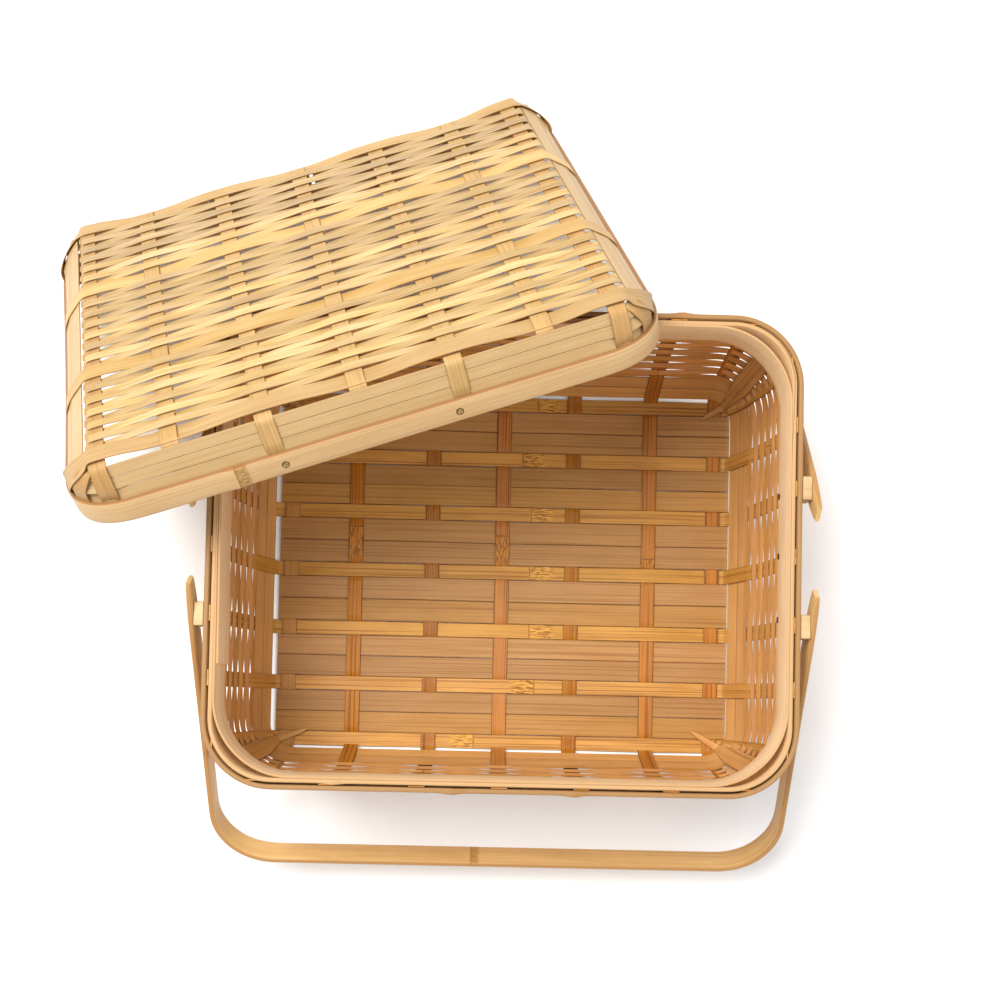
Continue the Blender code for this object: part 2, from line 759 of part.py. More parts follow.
def lid_panel_lines(depth):
    """Places across the lid of the rib and valley lines of its strips, with their half heights."""
    groups = len(LID_WEAVERS)
    free = 2 * depth - (groups + 1) * LID_WIDE_STRIP
    pitch = free / sum(LID_WEAVERS)
    crest = LID_PANEL_THICKNESS / 2
    valley = LID_PANEL_VALLEY / 2
    place = -depth
    lines = [(place, valley)]
    for group in range(groups + 1):
        lines += [(place + LID_STRIP_GAP, crest), (place + LID_WIDE_STRIP - LID_STRIP_GAP, crest)]
        place += LID_WIDE_STRIP
        lines.append((place, valley))
        if group < groups:
            for _ in range(LID_WEAVERS[group]):
                lines += [(place + pitch / 2, crest), (place + pitch, valley)]
                place += pitch
    return lines


def lid_panel(place):
    """The woven top of the lid, as one thin ribbed panel between its stakes."""
    length, depth, radius = lid_size(lid_wall()[1])
    inset = STRIP_GAP + SPLINT_THICKNESS / 2
    length, depth, radius = length - inset, depth - inset, radius - inset
    rings = []
    for across, half in lid_panel_lines(depth):
        past = max(0.0, abs(across) - (depth - radius))
        end = length - radius + math.sqrt(radius**2 - min(past, radius * PANEL_END_SHARE) ** 2)
        low = lid_top() - half
        high = lid_top() + half
        rings += [(-end, across, low), (end, across, low), (end, across, high), (-end, across, high)]
    faces = swept([None] * (len(rings) // 4), False)
    add_solid("lid_panel", moved(rings, place), faces, BAMBOO_PALE)


def lid():
    """The whole lid in its leaning place."""
    place = lid_place()
    upright_ring(
        "lid_hoop",
        0.0,
        LID_HOOP_HEIGHT,
        LID_LENGTH / 2,
        LID_DEPTH / 2,
        LID_CORNER_RADIUS,
        LID_HOOP_THICKNESS,
        BAMBOO_PALE,
        place,
    )
    foot, top = lid_wall()
    step = (top - foot + CLEARANCE) / LID_SLATS
    for index in range(LID_SLATS):
        low = foot + index * step
        lid_ring(f"lid_slat_{index + 1}", low, low + step - CLEARANCE, place)
    lid_panel(place)
    lid_stakes(place)


clear_scene()
cross_stakes()
long_stakes()
floor_slats()
walls()
hoops()
corner_stakes()
handle("front_handle", -1, FRONT_HANDLE_DROOP)
handle("back_handle", 1, resting_droop())
pivots()
lid()
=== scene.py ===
"""A bamboo splint basket, lid off and leaning on its back corner, dressed around its solids.

Metres, +Z up, the centre of the base at the origin.
"""

import math

import bpy
import numpy as np
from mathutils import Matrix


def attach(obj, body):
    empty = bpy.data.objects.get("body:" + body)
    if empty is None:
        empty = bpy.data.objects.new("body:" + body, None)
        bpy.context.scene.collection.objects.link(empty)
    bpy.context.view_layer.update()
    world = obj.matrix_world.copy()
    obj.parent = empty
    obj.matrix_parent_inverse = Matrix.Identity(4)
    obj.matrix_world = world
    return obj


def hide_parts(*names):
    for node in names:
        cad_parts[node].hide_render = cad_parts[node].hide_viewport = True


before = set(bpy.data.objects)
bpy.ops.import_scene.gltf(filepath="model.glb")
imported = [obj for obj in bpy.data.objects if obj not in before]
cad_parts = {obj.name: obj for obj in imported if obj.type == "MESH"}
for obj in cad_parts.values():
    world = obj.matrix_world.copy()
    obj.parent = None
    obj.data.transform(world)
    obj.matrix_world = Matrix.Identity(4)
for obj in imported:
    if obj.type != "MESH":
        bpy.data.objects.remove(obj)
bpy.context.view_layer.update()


# Table, light and camera
# The basket stands on a white table top. A soft lamp hangs above the back left and a weaker one
# above the front right, and the camera looks almost straight down from about 0.84 m.

CORNERS = ((1, 1), (-1, 1), (-1, -1), (1, -1))
scene = bpy.context.scene
TABLE_HALF = 4.0
TABLE_Z = -0.0004
table_mesh = bpy.data.meshes.new("table_top")
table_corners = [(side_x * TABLE_HALF, side_y * TABLE_HALF, TABLE_Z) for side_x, side_y in CORNERS]
table_mesh.from_pydata(table_corners, [], [(0, 1, 2, 3)])
table_top = bpy.data.objects.new("table_top", table_mesh)
scene.collection.objects.link(table_top)
table_paint = bpy.data.materials.new("table_white")
table_paint.use_nodes = True
table_shader = table_paint.node_tree.nodes["Principled BSDF"]
table_shader.inputs["Base Color"].default_value = (0.93, 0.93, 0.935, 1.0)
table_shader.inputs["Roughness"].default_value = 0.85
table_mesh.materials.append(table_paint)

sky = bpy.data.worlds.new("studio")
sky.use_nodes = True
sky_shader = sky.node_tree.nodes["Background"]
sky_shader.inputs["Color"].default_value = (0.97, 0.985, 1.0, 1.0)
sky_shader.inputs["Strength"].default_value = 0.61
scene.world = sky
scene.view_settings.view_transform = "Standard"


def soft_light(name, place, size, power, tint):
    """A square lamp of a given side that looks from its place towards the origin."""
    lamp = bpy.data.lights.new(name, "AREA")
    lamp.shape = "SQUARE"
    lamp.size = size
    lamp.energy = power
    lamp.color = tint
    made = bpy.data.objects.new(name, lamp)
    x, y, z = place
    made.rotation_euler = (math.atan2(math.hypot(x, y), z), 0.0, math.atan2(x, -y))
    made.location = place
    scene.collection.objects.link(made)


soft_light("key_light", (-0.75, 0.60, 1.98), size=1.2, power=58.0, tint=(1.0, 0.985, 0.965))
soft_light("fill_light", (1.3, -0.5, 1.8), size=1.8, power=14.5, tint=(0.97, 0.985, 1.0))

photo_view = bpy.data.cameras.new("photo_view")
photo_view.lens = 48.02
photo_view.sensor_width = 36.0
photo_view.shift_y = 0.15
photo_view.clip_start = 0.01
photo_camera = bpy.data.objects.new("photo_camera", photo_view)
photo_camera.location = (-0.00723, -0.08041, 0.83979)
photo_camera.rotation_euler = (0.03746, -0.00945, 0.02185)
scene.collection.objects.link(photo_camera)
scene.camera = photo_camera


# Floor slats
# Six pairs of wide, thin bamboo slats lie the length of the floor. Each is split bamboo with
# the hard skin planed off, pale and satin, and passes over the odd cross stakes.

SPLINT = 0.0007
SLACK = 0.0003
LOW = SPLINT / 2
HIGH = LOW + SPLINT + SLACK
NO_KNOT = 0.5
cross_x = np.array([-0.1324, -0.0920, -0.0440, 0.0, 0.0440, 0.0920, 0.1324])
long_y = np.array([-0.1066, -0.0716, -0.0369, 0.0, 0.0369, 0.0716, 0.1066])
chance = np.random.default_rng(31)


def columns(x, y, z):
    """Points or directions from three coordinates, each an array or one value for all."""
    return np.stack(np.broadcast_arrays(x, y, z), 1)


def section(width, thick, edge, steps):
    """Outline of a flat bar: half sides less the edge radius, plus the radius times the cosine
    and sine of a quarter turn at each of the four corners, for every station at once."""
    turn = np.linspace(0.0, math.pi / 2, steps + 1)
    ring_x, ring_y = [], []
    for quarter, (side_x, side_y) in enumerate(CORNERS):
        angle = turn + quarter * math.pi / 2
        ring_x.append(side_x * (width / 2 - edge)[:, None] + edge[:, None] * np.cos(angle))
        ring_y.append(side_y * (thick / 2 - edge)[:, None] + edge[:, None] * np.sin(angle))
    return np.concatenate(ring_x, 1), np.concatenate(ring_y, 1)


def tube_faces(rings, middles):
    """Quads between each ring of points and the next, and a cap at each end, all turned round
    if the quads look inward, toward the middles of the rings, on the whole."""
    count, sides = rings.shape[:2]
    start = np.arange(count - 1)[:, None] * sides
    here = (start + np.arange(sides)).reshape(-1)
    beside = (start + (np.arange(sides) + 1) % sides).reshape(-1)
    quads = np.stack([here, beside, beside + sides, here + sides], 1)
    caps = np.stack([np.arange(sides)[::-1], np.arange(sides) + (count - 1) * sides])
    corner = rings.reshape(-1, 3)[quads]
    facing = np.cross(corner[:, 2] - corner[:, 0], corner[:, 3] - corner[:, 1])
    inner = np.repeat(middles[:-1] / 2 + middles[1:] / 2, sides, 0)
    if np.einsum("ij,ij->i", facing, corner.mean(1) - inner).sum() < 0:
        quads = quads[:, ::-1]
        caps = caps[:, ::-1]
    return quads, caps


def splint(line, across, face, width, thick=SPLINT, edge=0.0002, steps=1, knots=(), tone=None):
    """A flat bar carried along a line: point = line + across * outline x + face * outline y.

    The run along it and the place across it are kept in metres as its grain, each from a chance
    start, with a tone of its own, the distance to its nearest knot, turned round for a knot
    given as a negative run, and its side, from -1 at one edge to 1 at the other.
    """
    count = len(line)
    across = np.broadcast_to(across, line.shape)
    face = np.broadcast_to(face, line.shape)
    width = np.broadcast_to(width, count)
    thick = np.broadcast_to(thick, count)
    edge = np.minimum(edge, 0.45 * np.minimum(width, thick))
    ring_x, ring_y = section(width, thick, edge, steps)
    rings = line[:, None] + across[:, None] * ring_x[..., None] + face[:, None] * ring_y[..., None]
    run = np.concatenate([[0.0], np.cumsum(np.linalg.norm(np.diff(line, axis=0), axis=1))])
    shift = chance.uniform(0.0, 5.0, 2)
    grain = np.stack([run[:, None] + shift[0] + 0.0 * ring_x, ring_x + ring_y + shift[1]], -1)
    if len(knots):
        gap = run[:, None] - np.abs(knots)[None, :]
        nearest = np.abs(gap).argmin(1)
        near = gap[np.arange(count), nearest] * np.sign(knots)[nearest]
    else:
        near = np.full(count, NO_KNOT)
    quads, caps = tube_faces(rings, line)
    points = rings.reshape(-1, 3)
    return {
        "points": points,
        "grain": grain.reshape(-1, 2),
        "tone": np.full(len(points), chance.uniform(0.0, 1.0) if tone is None else tone),
        "side": (2.0 * ring_x / width[:, None]).reshape(-1),
        "knot": np.repeat(near, ring_x.shape[1]),
        "quads": quads,
        "caps": caps,
    }


def piece(name, splints, surface, body, nodes):
    """One mesh from its splints: their points one after the other, the faces shifted to match,
    and grain, tone, knot and side written to it. It rides on its body and takes its nodes' place."""
    total = 0
    loops, starts, start = [], [], 0
    for part in splints:
        for faces in (part["quads"], part["caps"]):
            loops.append((faces + total).reshape(-1))
            starts.append(start + np.arange(len(faces)) * faces.shape[1])
            start += faces.size
        total += len(part["points"])
    loops = np.concatenate(loops).astype(np.int32)
    starts = np.concatenate(starts).astype(np.int32)
    mesh = bpy.data.meshes.new(name)
    mesh.vertices.add(total)
    mesh.loops.add(len(loops))
    mesh.polygons.add(len(starts))
    points = np.concatenate([part["points"] for part in splints])
    mesh.vertices.foreach_set("co", points.astype(np.float32).reshape(-1))
    mesh.loops.foreach_set("vertex_index", loops)
    mesh.polygons.foreach_set("loop_start", starts)
    mesh.update(calc_edges=True)
    grain = np.concatenate([part["grain"] for part in splints])[loops]
    mesh.uv_layers.new(name="grain").data.foreach_set("uv", grain.astype(np.float32).reshape(-1))
    for key in ("tone", "knot", "side"):
        values = np.concatenate([part[key] for part in splints]).astype(np.float32)
        mesh.attributes.new(key, "FLOAT", "POINT").data.foreach_set("value", values)
    mesh.shade_smooth()
    mesh.set_sharp_from_angle(angle=math.radians(35.0))
    mesh.materials.append(surface)
    made = bpy.data.objects.new(name, mesh)
    scene.collection.objects.link(made)
    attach(made, body)
    if nodes:
        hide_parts(*nodes)


def add(tree, kind, links=None, **settings):
    """A shader node with its settings, its inputs linked to sockets or set to plain values."""
    made = tree.nodes.new(kind)
    for key, value in settings.items():
        setattr(made, key, value)
    for key, value in (links or {}).items():
        if isinstance(value, bpy.types.NodeSocket):
            tree.links.new(value, made.inputs[key])
        else:
            made.inputs[key].default_value = value
    return made


def splint_grain():
    """Colour, roughness and height of split bamboo, from the grain map, tone, knot and side.

    Fibre is noise drawn out along the splint, and streaks are a coarser such noise cut to thin
    lines. The tone also shifts the hue, saturation and brightness of each splint. A node is a
    dark line and, for its length on one side, golden with brown flecks. The edges of each splint
    are painted darker, as shade in the seams where splints meet.
    """
    tree = bpy.data.node_groups.new("splint_grain", "ShaderNodeTree")
    sockets = tree.interface
    for label in ("Light", "Dark", "Streak", "Joint"):
        sockets.new_socket(label, in_out="INPUT", socket_type="NodeSocketColor")
    for label in ("Streaks", "Spread", "Gloss", "Node"):
        sockets.new_socket(label, in_out="INPUT", socket_type="NodeSocketFloat")
    for label, kind in (("Colour", "Color"), ("Roughness", "Float"), ("Height", "Float")):
        sockets.new_socket(label, in_out="OUTPUT", socket_type=f"NodeSocket{kind}")
    given = add(tree, "NodeGroupInput").outputs
    place = add(tree, "ShaderNodeUVMap", uv_map="grain").outputs["UV"]
    apart = add(tree, "ShaderNodeSeparateXYZ", {"Vector": place}).outputs

    def kept(key):
        """A value kept at each point of the mesh."""
        return add(tree, "ShaderNodeAttribute", attribute_name=key).outputs["Fac"]

    tone, knot, side = kept("tone"), kept("knot"), kept("side")

    def reckon(operation, *terms):
        """One step of arithmetic on its terms."""
        return add(tree, "ShaderNodeMath", dict(enumerate(terms)), operation=operation).outputs[0]

    def stretched(along, across, seed, detail, rough):
        """Noise on (run * along, place across * across, tone * seed)."""
        x = reckon("MULTIPLY", apart["X"], along)
        y = reckon("MULTIPLY", apart["Y"], across)
        z = reckon("MULTIPLY", tone, seed)
        spot = add(tree, "ShaderNodeCombineXYZ", {"X": x, "Y": y, "Z": z}).outputs[0]
        links = {"Vector": spot, "Scale": 1.0, "Detail": detail, "Roughness": rough}
        return add(tree, "ShaderNodeTexNoise", links).outputs["Fac"]

    def ramp(value, low, high, first=0.0, last=1.0):
        """The value carried smoothly from low..high to first..last and held there."""
        links = {0: value, 1: low, 2: high, 3: first, 4: last}
        return add(tree, "ShaderNodeMapRange", links, interpolation_type="SMOOTHSTEP").outputs[0]

    def mixed(share, first, second):
        """Two colours mixed by a share."""
        return add(tree, "ShaderNodeMix", {0: share, 6: first, 7: second}, data_type="RGBA").outputs[2]

    fibre = stretched(34.0, 2600.0, 40.0, 3.0, 0.62)
    streak = ramp(stretched(5.0, 1250.0, 71.0, 3.0, 0.55), 0.52, 0.63)
    blotch = stretched(26.0, 110.0, 13.0, 3.0, 0.55)
    pale = reckon("MULTIPLY", ramp(fibre, 0.32, 0.68), 0.45)
    pale = reckon("MULTIPLY_ADD", ramp(blotch, 0.3, 0.7), 0.55, pale)
    colour = mixed(pale, given["Dark"], given["Light"])
    shade = reckon("MULTIPLY_ADD", reckon("SUBTRACT", tone, 0.5), given["Spread"], 1.0)
    draw = reckon("FRACT", reckon("MULTIPLY", tone, 7.31))
    golden = reckon("MULTIPLY_ADD", draw, reckon("MULTIPLY", given["Spread"], 0.26), 0.96)
    hue = ramp(draw, 0.0, 1.0, 0.4990, 0.5022)
    links = {"Hue": hue, "Saturation": golden, "Value": shade, "Color": colour}
    colour = add(tree, "ShaderNodeHueSaturation", links).outputs[0]
    colour = mixed(reckon("MULTIPLY", streak, given["Streaks"]), colour, given["Streak"])
    after = reckon("DIVIDE", knot, given["Node"])
    joint = reckon("MULTIPLY", ramp(after, -0.08, 0.0), ramp(after, 0.7, 1.1, 1.0, 0.0))
    colour = mixed(joint, colour, given["Joint"])
    flecks = ramp(stretched(230.0, 1500.0, 9.0, 3.0, 0.68), 0.46, 0.57, 0.0, 0.9)
    ridge = ramp(reckon("ABSOLUTE", knot), 0.0002, 0.0007, 0.75, 0.0)
    colour = mixed(reckon("MAXIMUM", reckon("MULTIPLY", flecks, joint), ridge), colour, given["Streak"])
    # Painted shade: the edges of each splint are darkened toward the streak colour, as the shade in the
    # seams where splints meet.
    cut = ramp(reckon("ABSOLUTE", side), 0.90, 0.99, 0.0, 0.85)
    colour = mixed(cut, colour, given["Streak"])
    gloss = reckon("MULTIPLY_ADD", fibre, 0.22, given["Gloss"])
    height = reckon("MULTIPLY_ADD", joint, 0.8, reckon("MULTIPLY_ADD", streak, -0.5, fibre))
    add(tree, "NodeGroupOutput", {"Colour": colour, "Roughness": gloss, "Height": height})
    return tree


grain_group = splint_grain()


def bamboo(name, light, dark, streak, joint, streaks, spread, gloss, node=0.011):
    """A bamboo surface: the splint grain in its own colours on a satin shader."""
    made = bpy.data.materials.new(name)
    made.use_nodes = True
    tree = made.node_tree
    colours = {"Light": light, "Dark": dark, "Streak": streak, "Joint": joint}
    links = {key: (*value, 1.0) for key, value in colours.items()}
    links.update({"Streaks": streaks, "Spread": spread, "Gloss": gloss, "Node": node})
    grain = add(tree, "ShaderNodeGroup", links, node_tree=grain_group)
    links = {"Strength": 0.3, "Distance": 0.0003, "Height": grain.outputs["Height"]}
    bump = add(tree, "ShaderNodeBump", links)
    shader = tree.nodes["Principled BSDF"]
    shader.inputs["Specular IOR Level"].default_value = 0.25
    tree.links.new(grain.outputs["Colour"], shader.inputs["Base Color"])
    tree.links.new(grain.outputs["Roughness"], shader.inputs["Roughness"])
    tree.links.new(bump.outputs["Normal"], shader.inputs["Normal"])
    return made


def eased(places, knots, values, reach):
    """Heights at the places: each value is held to within the reach of its knot, and a cosine
    ease carries it to the next one."""
    reach = np.broadcast_to(reach, knots.shape)
    span = np.clip(np.searchsorted(knots, places, side="right") - 1, 0, len(knots) - 2)
    begin = knots[span] + reach[span]
    end = knots[span + 1] - reach[span + 1]
    share = np.clip((places - begin) / np.maximum(end - begin, 1e-6), 0.0, 1.0)
    share = (1.0 - np.cos(math.pi * share)) / 2.0
    return values[span] + (values[span + 1] - values[span]) * share


slat_bamboo = bamboo(
    "floor_slat_bamboo",
    light=(0.452, 0.24, 0.08), dark=(0.393, 0.195, 0.053),
    streak=(0.234, 0.103, 0.025), joint=(0.405, 0.195, 0.051),
    streaks=0.55, spread=0.30, gloss=0.36,
)
BESIDE_STRIP = 0.00460
PAIR_GAP = 0.00013
SLAT_WAVE = 0.00012
SLAT_FLAT = 0.0052
slat_run = np.linspace(-0.1396, 0.1423, 188)
odd_high = np.array([HIGH, LOW, HIGH, LOW, HIGH, LOW, HIGH])
number = 0
for first, second in zip(long_y, long_y[1:]):
    low_edge, high_edge = first + BESIDE_STRIP, second - BESIDE_STRIP
    slat_width = (high_edge - low_edge - PAIR_GAP) / 2
    for middle in (low_edge + slat_width / 2, high_edge - slat_width / 2):
        number += 1
        wave = SLAT_WAVE * np.sin(slat_run * chance.uniform(18.0, 30.0) + chance.uniform(0.0, 6.0))
        line = columns(slat_run, middle + wave, eased(slat_run, cross_x, odd_high, SLAT_FLAT))
        slat = splint(line, (0.0, 1.0, 0.0), (0.0, 0.0, 1.0), slat_width)
        node = f"floor_slat_{number}"
        piece(f"{node}_splint", [slat], slat_bamboo, "basket", [node])


# Long stakes and the wall's shape
# Seven narrow bamboo strips lie between the pairs of slats, woven the other way, and go on up
# the end walls as stakes. They are cut nearer the skin, browner, with dark grain and a knot each.

FOOT_Z, HOOP_Z, RIM_Z = 0.0035, 0.1060, 0.1280
WALL_FOOT = (0.1425, 0.1125, 0.0140)
WALL_GROWTH = (0.01425, 0.01475, 0.02075)
WALL_BEND = 2.2
STAKE_WIDTH = 0.0089
STAKE_STEP = 0.0014
STAKE_ASIDE = 0.00105
STAKE_FOOT, STAKE_TOP = 0.0042, RIM_Z - 0.0012
SLATS_TOP, SLATS_EASE = 0.0315, 0.0070
FLOOR_TOP = 0.003


def wall_rise(height):
    """Share of the way that a height lies from the foot of the wall to the hoops."""
    return np.clip((height - FOOT_Z) / (HOOP_Z - FOOT_Z), 0.0, 1.0)


def wall_shape(height):
    """Half length, half depth and corner radius of the wall's middle at a height: each is its
    foot value plus its growth times 1 - (1 - rise share) ^ bend."""
    share = 1.0 - (1.0 - wall_rise(height)) ** WALL_BEND
    return [foot + share * growth for foot, growth in zip(WALL_FOOT, WALL_GROWTH)]


def wall_slope(height):
    """How far the wall moves out for each metre up, from the same power law."""
    outward = (WALL_GROWTH[0] + WALL_GROWTH[1]) / 2
    return WALL_BEND * (1.0 - wall_rise(height)) ** (WALL_BEND - 1.0) / (HOOP_Z - FOOT_Z) * outward


def round_end(half, sideways, radius, middle):
    """Reach of a rounded box at a place beside its middle: half - radius + root of radius^2 -
    past^2, where past is how far into the round corner the place lies. Past is given too."""
    past = np.clip(abs(middle) - (sideways - radius), 0.0, radius * 0.95)
    return half - radius + np.sqrt(radius**2 - past**2), past


def smoothed(points, step, soft):
    """The line through lists of points, cut at equal steps of its length and averaged over a
    window of the given length, with both ends kept."""
    points = np.concatenate(points)
    run = np.concatenate([[0.0], np.cumsum(np.linalg.norm(np.diff(points, axis=0), axis=1))])
    even = np.linspace(0.0, run[-1], int(run[-1] / step) + 1)
    line = np.stack([np.interp(even, run, points[:, k]) for k in range(3)], 1)
    half = max(1, int(soft / step / 2))
    before = 2 * line[:1] - line[half:0:-1]
    after = 2 * line[-1:] - line[-2 : -half - 2 : -1]
    ends = np.concatenate([before, line, after])
    window = np.hanning(2 * half + 3)[1:-1]
    window = window / window.sum()
    return np.stack([np.convolve(ends[:, k], window, mode="valid") for k in range(3)], 1)


def unit(rows):
    """The directions of the rows, each of length one."""
    return rows / np.linalg.norm(rows, axis=1)[:, None]


def upright(line, across):
    """Directions for a splint: the face is square to the line and to the given way across."""
    ahead = unit(np.gradient(line, axis=0))
    face = unit(np.cross(ahead, across))
    return np.cross(face, ahead), face


def stake_line(axis, middle, run, level, aside):
    """A stake's line down one wall, over the floor at its levels and up the wall opposite,
    along x for axis 0 or y for axis 1. It stands off the middle of the wall by the aside
    amount over the slats and runs on the middle above them."""
    height = np.linspace(STAKE_FOOT, STAKE_TOP, 62)
    shape = wall_shape(height)
    out, _ = round_end(shape[axis], shape[1 - axis], shape[2], middle)
    out = out + aside * (1.0 - np.clip((height - SLATS_TOP) / SLATS_EASE, 0.0, 1.0))
    rise = columns(out, middle, height)
    fall = rise[::-1] * (-1.0, 1.0, 1.0)
    line = smoothed([fall, columns(run, middle, level), rise], STAKE_STEP, 3 * STAKE_STEP)
    return line if axis == 0 else line[:, [1, 0, 2]]


def floor_knot(line, axis, place):
    """Run along a stake's line to the point of it that is nearest a place on the floor."""
    away = np.abs(line[:, axis] - place) + 10.0 * (line[:, 2] > FLOOR_TOP)
    return np.argmin(away) * STAKE_STEP


strip_bamboo = bamboo(
    "long_stake_bamboo",
    light=(0.625, 0.322, 0.063), dark=(0.496, 0.232, 0.041),
    streak=(0.223, 0.085, 0.015), joint=(0.692, 0.359, 0.064),
    streaks=0.7, spread=0.22, gloss=0.33, node=0.016,
)
STRIP_FLAT = 0.0055
strip_knots = (-0.0158, 0.0217, 0.0188, 0.0180, 0.0180, 0.0125, 0.0210)
strip_run = np.linspace(-0.1402, 0.1402, 141)
strip_level = eased(strip_run, cross_x, LOW + HIGH - odd_high, STRIP_FLAT)
for number, middle in enumerate(long_y):
    aside = -STAKE_ASIDE if number % 2 == 1 else STAKE_ASIDE
    line = stake_line(0, middle, strip_run, strip_level, aside)
    knot = floor_knot(line, 0, strip_knots[number])
    knot = -knot if number < 2 else knot
    strip = splint(line, *upright(line, (0.0, 1.0, 0.0)), STAKE_WIDTH, knots=[knot])
    node = f"long_stake_{number + 1}"
    piece(f"{node}_splint", [strip], strip_bamboo, "basket", [node])


# Cross stakes
# Seven stakes cross the floor under and over the slats, then climb the front and back walls.
# Like the long stakes they are split from near the skin; the one at the left end is paler.

stake_bamboo = bamboo(
    "cross_stake_bamboo",
    light=(0.514, 0.207, 0.028), dark=(0.402, 0.14, 0.017),
    streak=(0.168, 0.055, 0.007), joint=(0.534, 0.222, 0.028),
    streaks=0.8, spread=0.42, gloss=0.34, node=0.020,
)
pale_bamboo = bamboo(
    "pale_stake_bamboo",
    light=(0.489, 0.248, 0.068), dark=(0.426, 0.194, 0.044),
    streak=(0.255, 0.104, 0.023), joint=(0.404, 0.188, 0.039),
    streaks=0.4, spread=0.10, gloss=0.36,
)
FLAT_AT_STRIP, FLAT_AT_SLATS = 0.0047, 0.0122
stake_tones = (0.95, 0.50, 0.05, 0.55, 0.10, 0.45, 0.60)
stake_knots = {1: 0.0265, 3: 0.0217, 5: 0.0100}
stake_run = np.linspace(-0.1095, 0.1095, 147)
floor_places = np.sort(np.concatenate([long_y, (long_y[:-1] + long_y[1:]) / 2]))
at_strip = np.arange(len(floor_places)) % 2 == 0
flat_reach = np.where(at_strip, FLAT_AT_STRIP, FLAT_AT_SLATS)
for number, middle in enumerate(cross_x):
    even = number % 2 == 1
    over, under = (HIGH, LOW) if even else (LOW, HIGH)
    level = eased(stake_run, floor_places, np.where(at_strip, under, over), flat_reach)
    line = stake_line(1, middle, stake_run, level, -STAKE_ASIDE if even else STAKE_ASIDE)
    knots = [-floor_knot(line, 1, stake_knots[number])] if number in stake_knots else []
    directions = upright(line, (1.0, 0.0, 0.0))
    stake = splint(line, *directions, STAKE_WIDTH, knots=knots, tone=stake_tones[number])
    surface = stake_bamboo if number else pale_bamboo
    node = f"cross_stake_{number + 1}"
    piece(f"{node}_splint", [stake], surface, "basket", [node])


# Wall slats and weavers
# Two wide slats of split bamboo go round the foot of the wall. Above them go fourteen narrow
# weavers, each over one stake and under the next and the next row the other way, held by the
# weave alone, so that light shows beside every stake.

WALL_SLAT_WIDTH = 0.0130
WALL_SLAT_PITCH = 0.0133
WEAVER_ROWS = 14
WEAVER_FOOT, WEAVER_TOP = 0.0301, 0.1035
WEAVER_THICK = 0.0005
WEAVER_GRIP = 0.0042
WEAVER_SWELL = 0.0011
WEAVER_GAP = 0.0001
WEAVER_STEP, WALL_SLAT_STEP = 0.0023, 0.0030
RING_GAP = 0.0006


def way_round(length, depth, radius):
    """Length of the way round a rounded rectangle: four times straight, arc and straight."""
    return 4 * (depth - radius + radius * math.pi / 2 + length - radius)


def round_box(length, depth, radius, along):
    """Points and directions out on a rounded rectangle, at runs round it from the middle of its
    right side: quarters of straight, arc and straight, every other one mirrored."""
    side, arc = depth - radius, radius * math.pi / 2
    quarter = side + arc + length - radius
    along = np.mod(along, 4 * quarter)
    turn = (along // quarter).astype(int)
    inside = along - turn * quarter
    near = np.where(turn % 2 == 0, inside, quarter - inside)
    angle = np.clip((near - side) / radius, 0.0, math.pi / 2)
    x = length - radius + radius * np.cos(angle) - np.clip(near - side - arc, 0.0, None)
    y = np.minimum(near, side) + radius * np.sin(angle)
    flip_x = np.where((turn == 1) | (turn == 2), -1.0, 1.0)
    flip_y = np.where((turn == 2) | (turn == 3), -1.0, 1.0)
    out = columns(flip_x * np.cos(angle), flip_y * np.sin(angle), 0.0)
    return columns(flip_x * x, flip_y * y, 0.0), out


def quarter_turned(out):
    """The way ahead round an outline: the direction out, a quarter turn on about the vertical."""
    return columns(-out[:, 1], out[:, 0], 0.0)


def stake_runs(height):
    """Runs round the wall at which the twenty-eight stakes stand at a height, and the whole."""
    length, depth, radius = wall_shape(height)
    side, flat = depth - radius, length - radius
    quarter = side + radius * math.pi / 2 + flat
    y = long_y[3:]
    x = cross_x[:2:-1]
    up = np.where(y <= side, y, side + radius * np.arcsin(np.clip((y - side) / radius, 0.0, 1.0)))
    back = np.where(x <= flat, x, flat + radius * np.arcsin(np.clip((x - flat) / radius, 0.0, 1.0)))
    first = np.concatenate([up, quarter - back])
    second = 2 * quarter - first[-2::-1]
    half = np.concatenate([first, second])
    return np.concatenate([half, 2 * quarter + half[1:-1]]), 4 * quarter


def gripped(places, knots, values, reach):
    """Sideways place of a springy weaver: full at each stake, out to its reach, and falling by
    a power of the distance on to nothing halfway to the next stake, where it changes side."""
    power = 1.6
    span = np.clip(np.searchsorted(knots, places, side="right") - 1, 0, len(knots) - 2)
    half = (knots[span + 1] - knots[span]) / 2 - reach
    left = np.clip((places - knots[span] - reach) / half, 0.0, 1.0)
    right = np.clip((knots[span + 1] - places - reach) / half, 0.0, 1.0)
    return values[span] * (1.0 - left) ** power + values[span + 1] * (1.0 - right) ** power


def ring_splint(height, width, thick, begin, step, stakes=None, swell=0.0):
    """A splint once round the wall at a height. Given the runs of the stakes and how far out it
    passes each, it sways from one to the next, and it is wider there by the swell times the
    square of its share of the full sway."""
    shape = wall_shape(height)
    whole = way_round(*shape)
    run = np.linspace(begin, begin + whole - RING_GAP, int(whole / step))
    point, out = round_box(*shape, run)
    lean = unit(out * wall_slope(height) + (0.0, 0.0, 1.0))
    face = np.cross(quarter_turned(out), lean)
    aside = gripped(run, *stakes, WEAVER_GRIP) if stakes else 0.0 * run
    wide = width + swell * (aside / max(1e-9, np.abs(aside).max())) ** 2
    return splint(point + (0.0, 0.0, height) + out * aside[:, None], lean, face, wide, thick)


